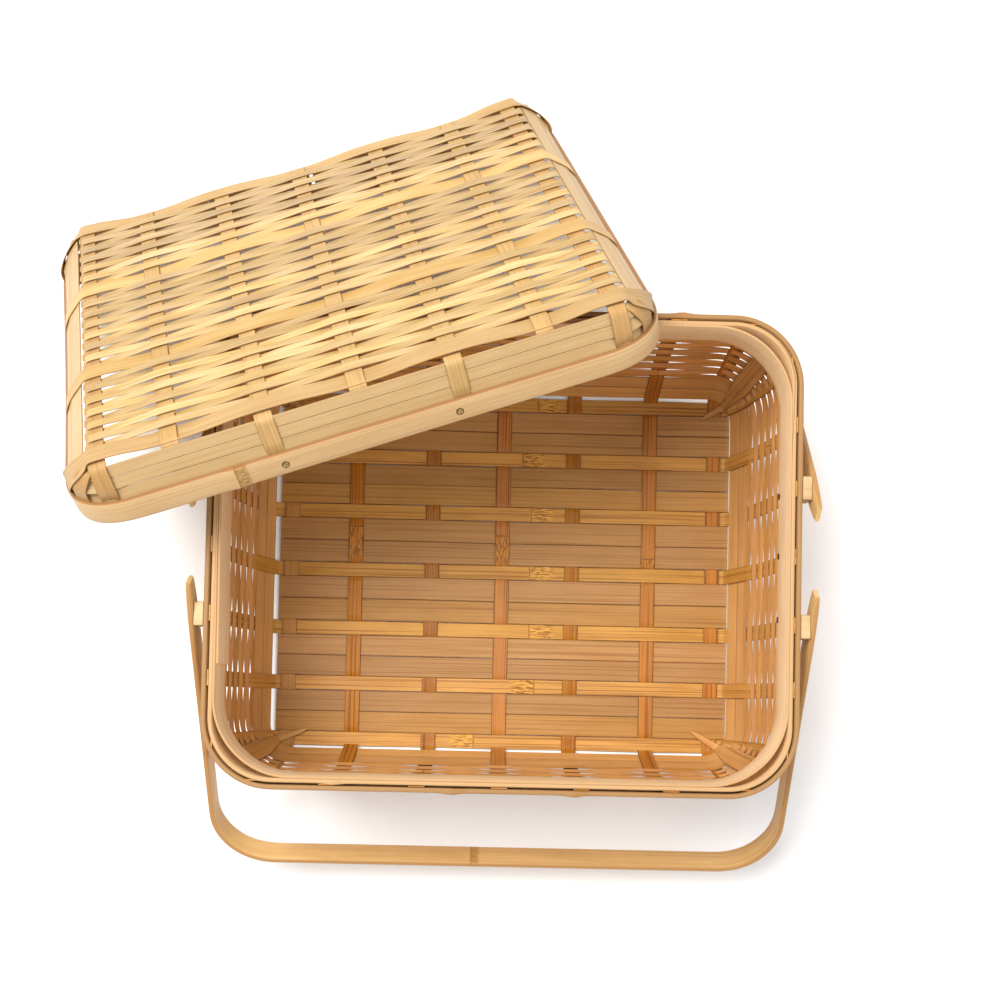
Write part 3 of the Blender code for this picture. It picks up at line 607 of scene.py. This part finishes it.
wall_slat_bamboo = bamboo(
    "wall_slat_bamboo",
    light=(0.699, 0.391, 0.141), dark=(0.571, 0.291, 0.091),
    streak=(0.314, 0.143, 0.035), joint=(0.524, 0.26, 0.059),
    streaks=0.4, spread=0.16, gloss=0.36,
)
for number in range(2):
    middle = FOOT_Z + WALL_SLAT_WIDTH / 2 + number * WALL_SLAT_PITCH
    begin = 0.32 + 0.5 * number
    slat = ring_splint(middle, WALL_SLAT_WIDTH, SPLINT, begin, WALL_SLAT_STEP)
    node = f"wall_slat_{number + 1}"
    piece(f"{node}_splint", [slat], wall_slat_bamboo, "basket", [node])

weaver_bamboo = bamboo(
    "weaver_bamboo",
    light=(0.764, 0.418, 0.159), dark=(0.571, 0.278, 0.086),
    streak=(0.328, 0.14, 0.039), joint=(0.571, 0.278, 0.084),
    streaks=0.4, spread=0.36, gloss=0.34,
)
weaver_swing = SPLINT / 2 + WEAVER_THICK / 2 + SLACK / 2
pitch = (WEAVER_TOP - WEAVER_FOOT) / WEAVER_ROWS
weavers = []
for row in range(WEAVER_ROWS):
    height = WEAVER_FOOT + (row + 0.5) * pitch
    runs, whole = stake_runs(height)
    sides = np.where((np.arange(len(runs)) + row) % 2 == 0, -1.0, 1.0) * weaver_swing
    knots = np.concatenate([runs - whole, runs, runs + whole, runs + 2 * whole])
    stakes = (knots, np.tile(sides, 4))
    begin = runs[(5 * row) % len(runs)] + 0.0005
    wide = pitch - WEAVER_GAP
    weavers.append(ring_splint(height, wide, WEAVER_THICK, begin, WEAVER_STEP, stakes, WEAVER_SWELL))
piece("wall_weavers", weavers, weaver_bamboo, "basket", ["woven_band"])


# Corner stakes
# A broad stake of split bamboo stands inside each corner, over all the weavers, from under the
# hoops down to the floor, where it is cut to a point and turned in over the corner of the weave.

corner_bamboo = bamboo(
    "corner_stake_bamboo",
    light=(0.637, 0.346, 0.103), dark=(0.499, 0.241, 0.061),
    streak=(0.234, 0.089, 0.02), joint=(0.446, 0.199, 0.04),
    streaks=0.6, spread=0.12, gloss=0.36,
)
DIAGONAL = math.sqrt(0.5)
CORNER_STEP = 0.0012
CORNER_FOOT, CORNER_TOP = 0.0040, 0.1040
NARROWEST, WIDENING, WIDE_BY = 0.0045, 0.0075, 0.034
INSIDE_WALL, OFF_WALL = 0.00125, 0.0002
TIP_Z = HIGH + SPLINT + 0.0005
tip_runs, tip_widths = (0.0, 0.004, 0.019, 0.050), (0.0010, 0.0030, 0.0046, 0.0120)
# How far in from its corner each pointed end reaches, along the basket and across it.
turned_in = ((0.0124, 0.0071), (0.0165, 0.0105), (0.0175, 0.0065), (0.0165, 0.0098))
for number, (side_x, side_y) in enumerate(CORNERS):
    height = np.linspace(CORNER_FOOT, CORNER_TOP, 60)
    length, depth, radius = wall_shape(height)
    wide = NARROWEST + WIDENING * np.clip((height - CORNER_FOOT) / WIDE_BY, 0.0, 1.0)
    # The edges of the flat stake touch the round corner first, so its middle stands in from it.
    reach = (np.sqrt((radius - INSIDE_WALL) ** 2 - (wide / 2) ** 2) - OFF_WALL) * DIAGONAL
    rise = columns(side_x * (length - radius + reach), side_y * (depth - radius + reach), height)
    in_x, in_y = turned_in[number]
    tip = rise[0] - np.array([side_x * in_x, side_y * in_y, 0.0])
    tip[2] = TIP_Z
    knee = rise[0] + (0.0, 0.0, TIP_Z - rise[0][2])
    line = smoothed([[tip, knee], rise], CORNER_STEP, 0.005)
    run = np.arange(len(line)) * CORNER_STEP
    wide = np.interp(run, tip_runs, tip_widths)
    stake = splint(line, *upright(line, (-side_y * DIAGONAL, side_x * DIAGONAL, 0.0)), wide)
    node = f"corner_stake_{number + 1}"
    piece(f"{node}_splint", [stake], corner_bamboo, "basket", [node])


# Rim hoops
# Three bent bamboo hoops close the rim: a stout one outside, one inside against the stakes' ends,
# and a thinner collar within. Each is one strip, thinned at both ends and lapped, and brass
# nails hold the collar.

HOOP_STEP = 0.003
HOOP_EDGE = 0.0007
THINNEST = 0.08
KNOT_BUMP, KNOT_REACH = 0.0009, 0.0045


def hoop_line(length, depth, radius, begin, lap):
    """Points and directions out on a rounded rectangle, once round and a lap on from a begin
    run, with the run from there in metres and the whole way round."""
    whole = way_round(length, depth, radius)
    run = np.arange(begin, begin + whole + lap, HOOP_STEP)
    point, out = round_box(length, depth, radius, run)
    return point, out, run - begin, whole


def hoop(shape, foot, top, thick, begin, lap, knots=(), lean=0.0, blunt=False):
    """A hoop as one strip whose first lap lies inside its last: over the lap the inner end
    grows from its thinnest to the full thickness while the outer end shrinks by the same rule.
    A blunt inner end keeps its thickness and stands in by that much. A knot is a bump outside."""
    length, depth, radius = (size - thick / 2 for size in shape)
    point, out, run, whole = hoop_line(length, depth, radius, begin, lap)
    first = np.clip(run / lap, 0.0, 1.0)
    last = np.clip((run - whole) / lap, 0.0, 1.0)
    share = np.clip((1.0 if blunt else first) - last, THINNEST, 1.0)
    inner = -(1.0 - first) if blunt else -(1.0 - share) / 2
    shift = np.where(run < lap, inner, np.where(run > whole, (1.0 - share) / 2, 0.0)) * (thick + 0.0001)
    bump = sum(np.exp(-(((run - knot) / KNOT_REACH) ** 2)) for knot in knots) * KNOT_BUMP + 0.0 * run
    share = share + bump / thick
    shift = shift + bump / 2
    across = unit(columns(lean * out[:, 0], lean * out[:, 1], 1.0))
    face = np.cross(quarter_turned(out), across)
    line = point + out * shift[:, None] + (0.0, 0.0, (foot + top) / 2)
    return splint(line, across, face, top - foot, thick * share, HOOP_EDGE, 3, knots)


hoop_bamboo = bamboo(
    "hoop_bamboo",
    light=(0.92, 0.68, 0.406), dark=(0.763, 0.527, 0.286),
    streak=(0.484, 0.269, 0.108), joint=(0.76, 0.53, 0.28),
    streaks=0.30, spread=0.10, gloss=0.33, node=0.005,
)
outer_bamboo = bamboo(
    "outer_hoop_bamboo",
    light=(0.54, 0.345, 0.155), dark=(0.45, 0.265, 0.105),
    streak=(0.32, 0.16, 0.055), joint=(0.36, 0.18, 0.055),
    streaks=0.35, spread=0.10, gloss=0.33, node=0.008,
)
outer_hoop = hoop(
    (0.160, 0.1305, 0.038), HOOP_Z, 0.1275, thick=0.0026, begin=0.42, lap=0.07, knots=[0.371, 0.436, 0.847]
)
piece("outer_hoop_strip", [outer_hoop], outer_bamboo, "basket", ["rim_outer_hoop"])
inner_hoop = hoop(
    (0.1561, 0.1266, 0.0341), HOOP_Z, RIM_Z, thick=0.0024, begin=0.05, lap=0.07, knots=[0.31, 0.66]
)
piece("inner_hoop_strip", [inner_hoop], hoop_bamboo, "basket", ["rim_inner_hoop"])
# The collar is lapped the other way round, so it is mirrored in y and its faces turned to match.
collar = hoop(
    (0.1534, 0.1239, 0.0420), 0.1065, 0.1285, thick=0.0016, begin=0.452, lap=0.16, lean=0.06, blunt=True
)
collar["points"][:, 1] *= -1.0
collar["quads"] = collar["quads"][:, ::-1]
collar["caps"] = collar["caps"][:, ::-1]
piece("collar_strip", [collar], hoop_bamboo, "basket", ["rim_collar"])


# Handles, blocks and pivot nails
# Each handle is one thick strip of bamboo, steamed and bent to a wide U. It swings on a brass
# nail at each side, which goes through it into a small block fixed to the outer hoop.

handle_bamboo = bamboo(
    "handle_bamboo",
    light=(0.764, 0.501, 0.215), dark=(0.64, 0.385, 0.141),
    streak=(0.404, 0.196, 0.063), joint=(0.54, 0.3, 0.091),
    streaks=0.35, spread=0.12, gloss=0.30, node=0.005,
)
PIVOT_Y, PIVOT_Z = 0.0375, 0.1195
ARM_X = 0.1670
ARM_TAIL = 0.021
GRIP_REACH = 0.164
HANDLE_BEND = 0.034
HANDLE_STEP = 0.002
HALF_WIDTH, HALF_THICK = 0.0080, 0.0015
HAIR = 0.0003
STOUT_EDGE = 0.0009
front_droop = math.radians(33.0)
# The back handle hangs until the lower edge of its grip is a hair above the table.
lever = GRIP_REACH + HALF_THICK
low_edge_sine = (PIVOT_Z - HAIR) / math.hypot(lever, HALF_WIDTH)
back_droop = math.asin(low_edge_sine) - math.atan2(HALF_WIDTH, lever)
angle = np.linspace(0.0, math.pi / 2, 25)
arm_y = np.linspace(-ARM_TAIL, GRIP_REACH - HANDLE_BEND - 0.001, 70)
bend_x = -ARM_X + HANDLE_BEND * (1 - np.cos(angle))
bend_y = GRIP_REACH - HANDLE_BEND * (1 - np.sin(angle))
grip_x = np.linspace(-ARM_X + HANDLE_BEND + 0.0005, 0.0, 60)
half = [columns(-ARM_X, arm_y, 0.0), columns(bend_x, bend_y, 0.0), columns(grip_x, GRIP_REACH, 0.0)]
half = np.concatenate(half)
bow = smoothed([half, half[-2::-1] * (-1.0, 1.0, 1.0)], HANDLE_STEP, 0.012)
run = np.arange(len(bow)) * HANDLE_STEP
ends = np.minimum(run, run[-1] - run)
# The ends narrow over their last 30 mm and thin out over their last 50 mm.
wide = np.interp(ends, [0.0, 0.003, 0.021, 0.030], [0.0095, 0.0118, 0.0155, 2 * HALF_WIDTH])
thick = np.interp(ends, [0.0, 0.010, 0.05], [0.0024, 0.0029, 2 * HALF_THICK])
for name, side, droop in (("front", -1, front_droop), ("back", 1, back_droop)):
    local = bow * (1.0, side, 1.0)
    fall, reach = math.sin(-droop * side), math.cos(-droop * side)
    spin = np.array([[1, 0, 0], [0, reach, -fall], [0, fall, reach]])
    line = local @ spin.T + (0.0, side * PIVOT_Y, PIVOT_Z)
    directions = upright(line, spin @ np.array([0.0, 0.0, 1.0]))
    strip = splint(line, *directions, wide, thick, STOUT_EDGE, 3, [0.322, 0.105])
    node = f"{name}_handle"
    piece(f"{node}_strip", [strip], handle_bamboo, f"{node}_body", [node])

brass = bpy.data.materials.new("brass")
brass.use_nodes = True
brass_tree = brass.node_tree
spot = add(brass_tree, "ShaderNodeTexCoord").outputs["Object"]
tarnish = add(brass_tree, "ShaderNodeTexNoise", {"Vector": spot, "Scale": 900.0}).outputs["Fac"]
tarnished = add(brass_tree, "ShaderNodeValToRGB", {"Fac": tarnish})
dull, bright = tarnished.color_ramp.elements
dull.color = (0.40, 0.26, 0.08, 1.0)
dull.position = 0.35
bright.color = (0.72, 0.54, 0.24, 1.0)
bright.position = 0.62
# Painted shade: the rim of each nail head is mixed to near black, as the shade where the head's edge meets
# the bamboo.
nail_side = add(brass_tree, "ShaderNodeAttribute", attribute_name="side").outputs["Fac"]
rim_shade_links = {"Value": nail_side, "From Min": 0.62, "From Max": 0.92}
painted_rim_shade = add(brass_tree, "ShaderNodeMapRange", rim_shade_links).outputs["Result"]
rim_shade_links = {0: painted_rim_shade, 6: tarnished.outputs["Color"], 7: (0.06, 0.035, 0.015, 1.0)}
brass_colour = add(brass_tree, "ShaderNodeMix", rim_shade_links, data_type="RGBA").outputs[2]
gloss_links = {"Value": tarnish, "To Min": 0.42, "To Max": 0.22}
brass_gloss = add(brass_tree, "ShaderNodeMapRange", gloss_links).outputs["Result"]
brass_shader = brass_tree.nodes["Principled BSDF"]
brass_shader.inputs["Metallic"].default_value = 1.0
brass_tree.links.new(brass_colour, brass_shader.inputs["Base Color"])
brass_tree.links.new(brass_gloss, brass_shader.inputs["Roughness"])


def nail_head(place, out, radius, rise, shank):
    """A nail turned about its own line, by a profile of a shank, a flat underside and a domed
    head. Its side goes from 0 on its line to 1 at the rim of the head."""
    around = 24
    out = np.array(out) / np.linalg.norm(out)
    first = np.cross(out, (0.0, 0.0, 1.0))
    first /= np.linalg.norm(first)
    second = np.cross(out, first)
    share = np.array([0.02, 0.42, 0.42, 1.0, 1.0, 0.92, 0.75, 0.5, 0.25, 0.02])
    reach = share * radius
    dome = rise * np.array([0.25, 0.45, 0.7, 0.9, 1.0, 1.0])
    along = np.concatenate([[-shank, -shank, 0.0, 0.0], dome])
    angle = np.linspace(0.0, 2 * math.pi, around, endpoint=False)[:, None]
    ring = first * np.cos(angle) + second * np.sin(angle)
    middles = place + along[:, None] * out
    rings = middles[:, None] + reach[:, None, None] * ring
    quads, caps = tube_faces(rings, middles)
    blank = np.zeros(len(reach) * around)
    return {
        "points": rings.reshape(-1, 3),
        "grain": np.stack([blank, blank], 1),
        "tone": blank,
        "knot": blank + NO_KNOT,
        "side": np.repeat(share, around),
        "quads": quads,
        "caps": caps,
    }


COLLAR_NAIL_X, COLLAR_NAIL_Z = 0.1512, 0.1090
collar_nails = [
    nail_head((hand * COLLAR_NAIL_X, y, COLLAR_NAIL_Z), (-hand, 0.0, 0.06), 0.0017, 0.0006, 0.0010)
    for hand, y in ((-1, -0.038), (-1, 0.030), (1, 0.035), (1, 0.002), (1, -0.033))
]
piece("collar_nails", collar_nails, brass, "basket", [])

block_bamboo = bamboo(
    "block_bamboo",
    light=(0.66, 0.46, 0.24), dark=(0.57, 0.37, 0.17),
    streak=(0.40, 0.22, 0.08), joint=(0.30, 0.14, 0.05),
    streaks=0.3, spread=0.1, gloss=0.42,
)
BLOCK_NEAR, BLOCK_FAR = 0.1603, 0.1652
BLOCK_DEEP, BLOCK_TALL = 0.013, 0.014
HEAD_X = 0.1688
for face_name, side in (("front", -1), ("back", 1)):
    for end_name, hand in (("left", -1), ("right", 1)):
        middle = np.array([0.0, side * PIVOT_Y, PIVOT_Z])
        line = np.linspace(middle + (hand * BLOCK_NEAR, 0, 0), middle + (hand * BLOCK_FAR, 0, 0), 4)
        block = splint(line, (0.0, 1.0, 0.0), (0.0, 0.0, 1.0), BLOCK_DEEP, BLOCK_TALL, STOUT_EDGE, 3)
        node = f"pivot_block_{face_name}_{end_name}"
        piece(f"{node}_chip", [block], block_bamboo, "basket", [node])
        head_place = middle + (hand * HEAD_X, 0, 0)
        nail = nail_head(head_place, (hand, 0, 0), radius=0.003, rise=0.001, shank=0.0070)
        node = f"pivot_nail_{face_name}_{end_name}"
        piece(f"{node}_brass", [nail], brass, "basket", [node])


# Lid hoop and nails
# The lid is a shallow tray of woven bamboo turned over, and it leans on the basket's corner. Its
# wall ends in one bent hoop, thinned and lapped, with two brass nails through the front.

lid_yaw, lid_lean = 0.3222, 0.72139
yaw_x, yaw_y = math.cos(lid_yaw), math.sin(lid_yaw)
lean_y, lean_z = math.cos(lid_lean), math.sin(lid_lean)
about_z = np.array([[yaw_x, -yaw_y, 0], [yaw_y, yaw_x, 0], [0, 0, 1]])
about_x = np.array([[1, 0, 0], [0, lean_y, lean_z], [0, -lean_z, lean_y]])
lid_turn = about_z @ about_x
lid_rear = np.array([-0.1276, 0.2316, 0.0003])
LID_LENGTH, LID_DEPTH, LID_RADIUS = 0.1583, 0.1305, 0.040
LID_WALL_FOOT, LID_TOP = 0.0118, 0.03305
LID_DRAWN_IN, DRAWN_LENGTH, DRAWN_TOP = 0.0020, 0.1585, 0.033
STEEP, STEEP_FROM, STEEP_EASE = 0.0022, 0.1245, 0.0105
BOW_IN, BOW_HALF = 0.0064, 0.138


def on_lid(part, steep=STEEP, right_drawn=LID_DRAWN_IN):
    """A splint made in the lid's own frame, carried to where the lid leans.

    Its springy ends are drawn in by a parabola between the corners, most at the hoop and not at
    the top. The rear side bows in by a fourth power of the place along it, and the front not at
    all. The top of the right wall stands out by the steep amount. Toward the hoop the round
    corners are squarer: a point at a turn of its corner moves out by
    (cosine^n + sine^n)^(-1/n), with n 2.6 at the front and 3.6 at the rear.
    """
    place = part["points"]
    share = np.clip(1.0 - (place[:, 1] / LID_DEPTH) ** 2, 0.0, 1.0)
    share = share * np.clip(1.0 - place[:, 2] / DRAWN_TOP, 0.0, 1.0)
    drawn = np.where(place[:, 0] > 0.0, right_drawn, LID_DRAWN_IN)
    place[:, 0] *= 1.0 - drawn / DRAWN_LENGTH * share
    low = np.clip((LID_TOP - place[:, 2]) / (LID_TOP - LID_WALL_FOOT), 0.0, 1.0)
    arc_middle = (LID_LENGTH - LID_RADIUS, LID_DEPTH - LID_RADIUS)
    away = np.clip((np.abs(place[:, :2]) - arc_middle) / LID_RADIUS, 0.0, None)
    reach = np.linalg.norm(away, axis=1)
    power = np.where(place[:, 1] > 0.0, 3.6, 2.6)
    turn = away / np.maximum(reach, 1e-9)[:, None]
    grown = np.maximum((turn ** power[:, None]).sum(1), 0.1) ** (-1.0 / power)
    grown = np.where(reach > 1e-6, (grown - 1.0) * low, 0.0)
    place[:, 0] += steep * (1.0 - low) * np.clip((place[:, 0] - STEEP_FROM) / STEEP_EASE, 0.0, 1.0)
    place[:, :2] += np.sign(place[:, :2]) * LID_RADIUS * away * grown[:, None]
    bowed = np.clip(1.0 - (place[:, 0] / BOW_HALF) ** 4, 0.0, 1.0)
    bowed = bowed * np.clip(place[:, 1] / LID_DEPTH, 0.0, 1.0) ** 4
    place[:, 1] -= BOW_IN * bowed
    part["points"] = (place - (0.0, LID_DEPTH, 0.0)) @ lid_turn.T + lid_rear
    return part


lid_hoop_bamboo = bamboo(
    "lid_hoop_bamboo",
    light=(0.625, 0.411, 0.198), dark=(0.558, 0.343, 0.149),
    streak=(0.288, 0.126, 0.039), joint=(0.50, 0.30, 0.115),
    streaks=0.25, spread=0.08, gloss=0.32, node=0.0065,
)
LID_HOOP_TOP = 0.0125
lid_outline = (LID_LENGTH, LID_DEPTH, LID_RADIUS)
lid_hoop = hoop(lid_outline, 0.0, LID_HOOP_TOP, thick=0.0026, begin=0.25, lap=0.06, knots=[0.488])
lid_hoop = on_lid(lid_hoop, 0.0, 0.0)
piece("lid_hoop_strip", [lid_hoop], lid_hoop_bamboo, "lid_body", ["lid_hoop"])

LID_NAIL_V, LID_NAIL_Z = -0.1304, 0.0058
lid_nails = [
    on_lid(nail_head((u, LID_NAIL_V, LID_NAIL_Z), (0.0, -1.0, 0.0), 0.0020, 0.0007, 0.0010))
    for u in (-0.046, 0.045)
]
piece("lid_nails", lid_nails, brass, "lid_body", [])


# Lid wall slats
# Three thin bamboo slats go round the lid's wall one above the other, between the stakes. The
# lowest is tucked in behind the hoop.

LID_EDGE_Z = 0.0345
LID_SLATS_TOP = 0.0312
ENDS_LEAN_IN = 0.02080
SIDES_LEAN_IN = 0.17
SLAT_GAP = 0.0001
TUCKED_IN = 0.0024


def lid_shape(height):
    """Half length, half depth and corner radius of the lid's wall. The sides are straight from
    the hoop to the top edge, and the ends lean in more and more, by the square of the height."""
    share = np.clip((height - LID_WALL_FOOT) / (LID_EDGE_Z - LID_WALL_FOOT), 0.0, 1.0)
    return 0.15500 - share**2 * ENDS_LEAN_IN, 0.12685 - share * 0.00385, 0.03635 - share * 0.03000


lid_slat_bamboo = bamboo(
    "lid_slat_bamboo",
    light=(0.557, 0.373, 0.169), dark=(0.498, 0.313, 0.129),
    streak=(0.378, 0.212, 0.074), joint=(0.418, 0.252, 0.089),
    streaks=0.3, spread=0.06, gloss=0.34,
)
slat_step = (LID_SLATS_TOP - LID_WALL_FOOT + SLAT_GAP) / 3
for number in range(3):
    tucked = TUCKED_IN if number == 0 else 0.0
    foot = LID_WALL_FOOT + number * slat_step - tucked
    middle = foot + (slat_step + tucked - SLAT_GAP) / 2
    length, depth, radius = lid_shape(middle)
    point, out, _, _ = hoop_line(length - 0.0003, depth, radius, 0.20 + 0.06 * number, 0.0)
    end_lean = -2.0 * ENDS_LEAN_IN * (middle - LID_WALL_FOOT) / (LID_EDGE_Z - LID_WALL_FOOT) ** 2
    slat_thick = 0.0006 if number == 0 else SPLINT
    lean = unit(columns(out[:, 0] * end_lean, out[:, 1] * -SIDES_LEAN_IN, 1.0))
    line = point + (0.0, 0.0, middle)
    tall = np.hypot(slat_step + tucked - SLAT_GAP, end_lean * slat_step * out[:, 0])
    slat = on_lid(splint(line, lean, np.cross(quarter_turned(out), lean), tall, slat_thick))
    node = f"lid_slat_{number + 1}"
    piece(f"{node}_splint", [slat], lid_slat_bamboo, "lid_body", [node])


# Lid stakes
# Seven split bamboo stakes cross the top of the lid from front to back and go down by turns
# outside and inside the wall slats, to end behind the hoop. The outer two are more golden.

lid_stake_bamboo = bamboo(
    "lid_stake_bamboo",
    light=(0.545, 0.345, 0.137), dark=(0.461, 0.265, 0.087),
    streak=(0.335, 0.165, 0.048), joint=(0.419, 0.234, 0.063),
    streaks=0.35, spread=0.16, gloss=0.34,
)
golden_bamboo = bamboo(
    "golden_stake_bamboo",
    light=(0.50, 0.29, 0.10), dark=(0.43, 0.225, 0.066),
    streak=(0.30, 0.14, 0.04), joint=(0.40, 0.22, 0.06),
    streaks=0.35, spread=0.12, gloss=0.34,
)
BROAD_PITCH = 0.0118
NARROW_PITCH, NARROW_MIDDLE = 0.00559, 0.00279
LID_STAKE_WIDTH = 0.0092
LID_END_Z = 0.0040
TUCK_EASE = 0.004
STAKE_WAVE = 0.00012
STAKE_RUN, STAKE_BEND_Z = 0.1190, 0.0305
lid_stake_u = np.array([-0.925, -0.667, -0.3375, 0.0, 0.3375, 0.667, 0.925]) * 0.1438
# The rows of the top from front to back: a broad strip, then so many narrow weavers, four times.
row_v, broad, row_edge = [], [], -0.1214
for narrow_rows in (11, 13, 11, 0):
    row_v.append(row_edge + BROAD_PITCH / 2)
    broad.append(True)
    row_edge += BROAD_PITCH
    for _ in range(narrow_rows):
        row_v.append(row_edge + NARROW_MIDDLE)
        broad.append(False)
        row_edge += NARROW_PITCH
row_v = np.array(row_v)
for number, middle in enumerate(lid_stake_u):
    sway = np.where((np.arange(len(row_v)) + number) % 2 == 0, -1.0, 1.0) * STAKE_WAVE
    run = np.linspace(-STAKE_RUN, STAKE_RUN, 239)
    top = columns(middle, run, LID_TOP + eased(run, row_v, sway, 0.001))
    height = np.linspace(STAKE_BEND_Z, LID_END_Z, 24)
    length, depth, radius = lid_shape(height)
    tuck = np.clip((height - LID_HOOP_TOP) / TUCK_EASE, 0.0, 1.0)
    out, past = round_end(depth, length, radius, middle)
    out = out + (STAKE_ASIDE if number % 2 == 0 else -STAKE_ASIDE) * tuck
    end = columns(middle, out, height)
    line = smoothed([end[::-1] * (1.0, -1.0, 1.0), top, end], STAKE_STEP, 0.004)
    # The stake turns with the wall at a round corner, and lies flat again from just under the top.
    levels = np.append(height[::-1], LID_TOP - 0.0006)
    turns = np.append(np.arcsin(past / radius)[::-1], 0.0)
    turn = np.interp(line[:, 2], levels, turns)
    across = columns(np.cos(turn), -np.sign(middle * line[:, 1]) * np.sin(turn), 0.0)
    stake = on_lid(splint(line, *upright(line, across), LID_STAKE_WIDTH), 0.0)
    surface = golden_bamboo if number in (0, 6) else lid_stake_bamboo
    node = f"lid_stake_{number + 1}"
    piece(f"{node}_splint", [stake], surface, "lid_body", [node])


# Lid weavers, broad strips and corner stakes
# Thirty-five narrow weavers go over and under the stakes and end at the edge of the top. Four
# broad strips go on down the ends to the hoop, and a short stake covers each corner. All are
# split bamboo, held by the weave and the hoop.

lid_weaver_bamboo = bamboo(
    "lid_weaver_bamboo",
    light=(0.60, 0.430, 0.222), dark=(0.470, 0.290, 0.102),
    streak=(0.263, 0.13, 0.042), joint=(0.481, 0.272, 0.094),
    streaks=0.5, spread=0.46, gloss=0.32,
)
broad_bamboo = bamboo(
    "broad_strip_bamboo",
    light=(0.59, 0.385, 0.16), dark=(0.49, 0.285, 0.09),
    streak=(0.31, 0.15, 0.04), joint=(0.42, 0.24, 0.07),
    streaks=0.4, spread=0.34, gloss=0.32,
)
LID_SWING = 0.00110
BROAD_WIDTH, BROAD_THICK = 0.0116, 0.0006
BROAD_END, BROAD_TURN, BROAD_BEND_Z = 0.1370, 0.0030, 0.0300
BROAD_FLAT, NARROW_GRIP = 0.0048, 0.0044
NARROW_WIDTH, NARROW_THICK = 0.00549, 0.0005
NARROW_LEFT, NARROW_RIGHT, NARROW_TIP = -0.1366, 0.1382, 0.0009
NARROW_TIP_Z = LID_TOP - 0.0010
broad_strips, narrow_weavers = [], []
for row, middle in enumerate(row_v):
    offsets = np.where((np.arange(7) + row) % 2 == 0, 1.0, -1.0) * LID_SWING
    if broad[row]:
        run = np.linspace(-BROAD_END, BROAD_END, 232)
        top = columns(run, middle, LID_TOP + eased(run, lid_stake_u, offsets, BROAD_FLAT))
        height = np.linspace(BROAD_BEND_Z, LID_END_Z, 24)
        length, depth, radius = lid_shape(height)
        # In the round corner the strip keeps to one share of the radius all the way down.
        round_share = np.clip(abs(middle) - (depth - radius), 0.0, None)[0] / radius[0]
        past = round_share * radius
        beside = np.sign(middle) * np.where(round_share > 0.0, depth - radius + past, abs(middle))
        tuck = np.clip((height - LID_HOOP_TOP) / TUCK_EASE, 0.0, 1.0)
        out = length - radius + np.sqrt(radius**2 - past**2) + STAKE_ASIDE * tuck
        end = columns(out, beside, height)
        line = smoothed([end[::-1] * (-1.0, 1.0, 1.0), top, end], STAKE_STEP, 0.0075)
        turn = np.interp(line[:, 2], height[::-1], np.arcsin(past / radius)[::-1])
        turn = turn * np.clip((np.abs(line[:, 0]) - BROAD_END) / BROAD_TURN, 0.0, 1.0)
        across = columns(-np.sign(middle * line[:, 0]) * np.sin(turn), np.cos(turn), 0.0)
        broad_strips.append(on_lid(splint(line, *upright(line, across), BROAD_WIDTH, BROAD_THICK)))
    else:
        run = np.linspace(NARROW_LEFT - 0.0012 * (row % 2), NARROW_RIGHT, 150)
        beyond = np.concatenate([[-0.9], lid_stake_u, [0.9]])
        held = np.concatenate([offsets[:1], offsets, offsets[-1:]])
        aside = gripped(run, beyond, held, NARROW_GRIP)
        aside = np.where(np.abs(run) > lid_stake_u[-1], offsets[0], aside)
        first_tip = [(run[0] - NARROW_TIP, middle, NARROW_TIP_Z)]
        last_tip = [(run[-1] + NARROW_TIP, middle, NARROW_TIP_Z)]
        line = smoothed([first_tip, columns(run, middle, LID_TOP + aside), last_tip], 0.0016, 0.0064)
        share = np.interp(line[:, 0], run, aside / LID_SWING)
        wide = NARROW_WIDTH + (0.0005 * share**2 + 0.0003 * share)
        directions = upright(line, (0.0, 1.0, 0.0))
        narrow_weavers.append(on_lid(splint(line, *directions, wide, NARROW_THICK)))
piece("lid_weavers", narrow_weavers, lid_weaver_bamboo, "lid_body", ["lid_panel"])
piece("lid_broad_strips", broad_strips, broad_bamboo, "lid_body", [])

CORNER_WIDTH = 0.0085
CORNER_IN, CORNER_IN_Z = 0.0034, LID_TOP - 0.0040
CORNER_BEND_Z = 0.0285
lid_corners = []
for side_x, side_y in CORNERS:
    height = np.linspace(CORNER_BEND_Z, LID_END_Z, 22)
    length, depth, radius = lid_shape(height)
    reach = (radius + STAKE_ASIDE) * DIAGONAL
    down = columns(side_x * (length - radius + reach), side_y * (depth - radius + reach), height)
    inside = down[0] - np.array([side_x, side_y, 0.0]) * CORNER_IN
    inside[2] = CORNER_IN_Z
    edge = down[0] + (0.0, 0.0, 0.0006)
    line = smoothed([[inside, edge], down], STAKE_STEP, 0.006)
    directions = upright(line, (-side_y * DIAGONAL, side_x * DIAGONAL, 0.0))
    lid_corners.append(on_lid(splint(line, *directions, CORNER_WIDTH)))
piece("lid_corner_stakes", lid_corners, golden_bamboo, "lid_body", [])
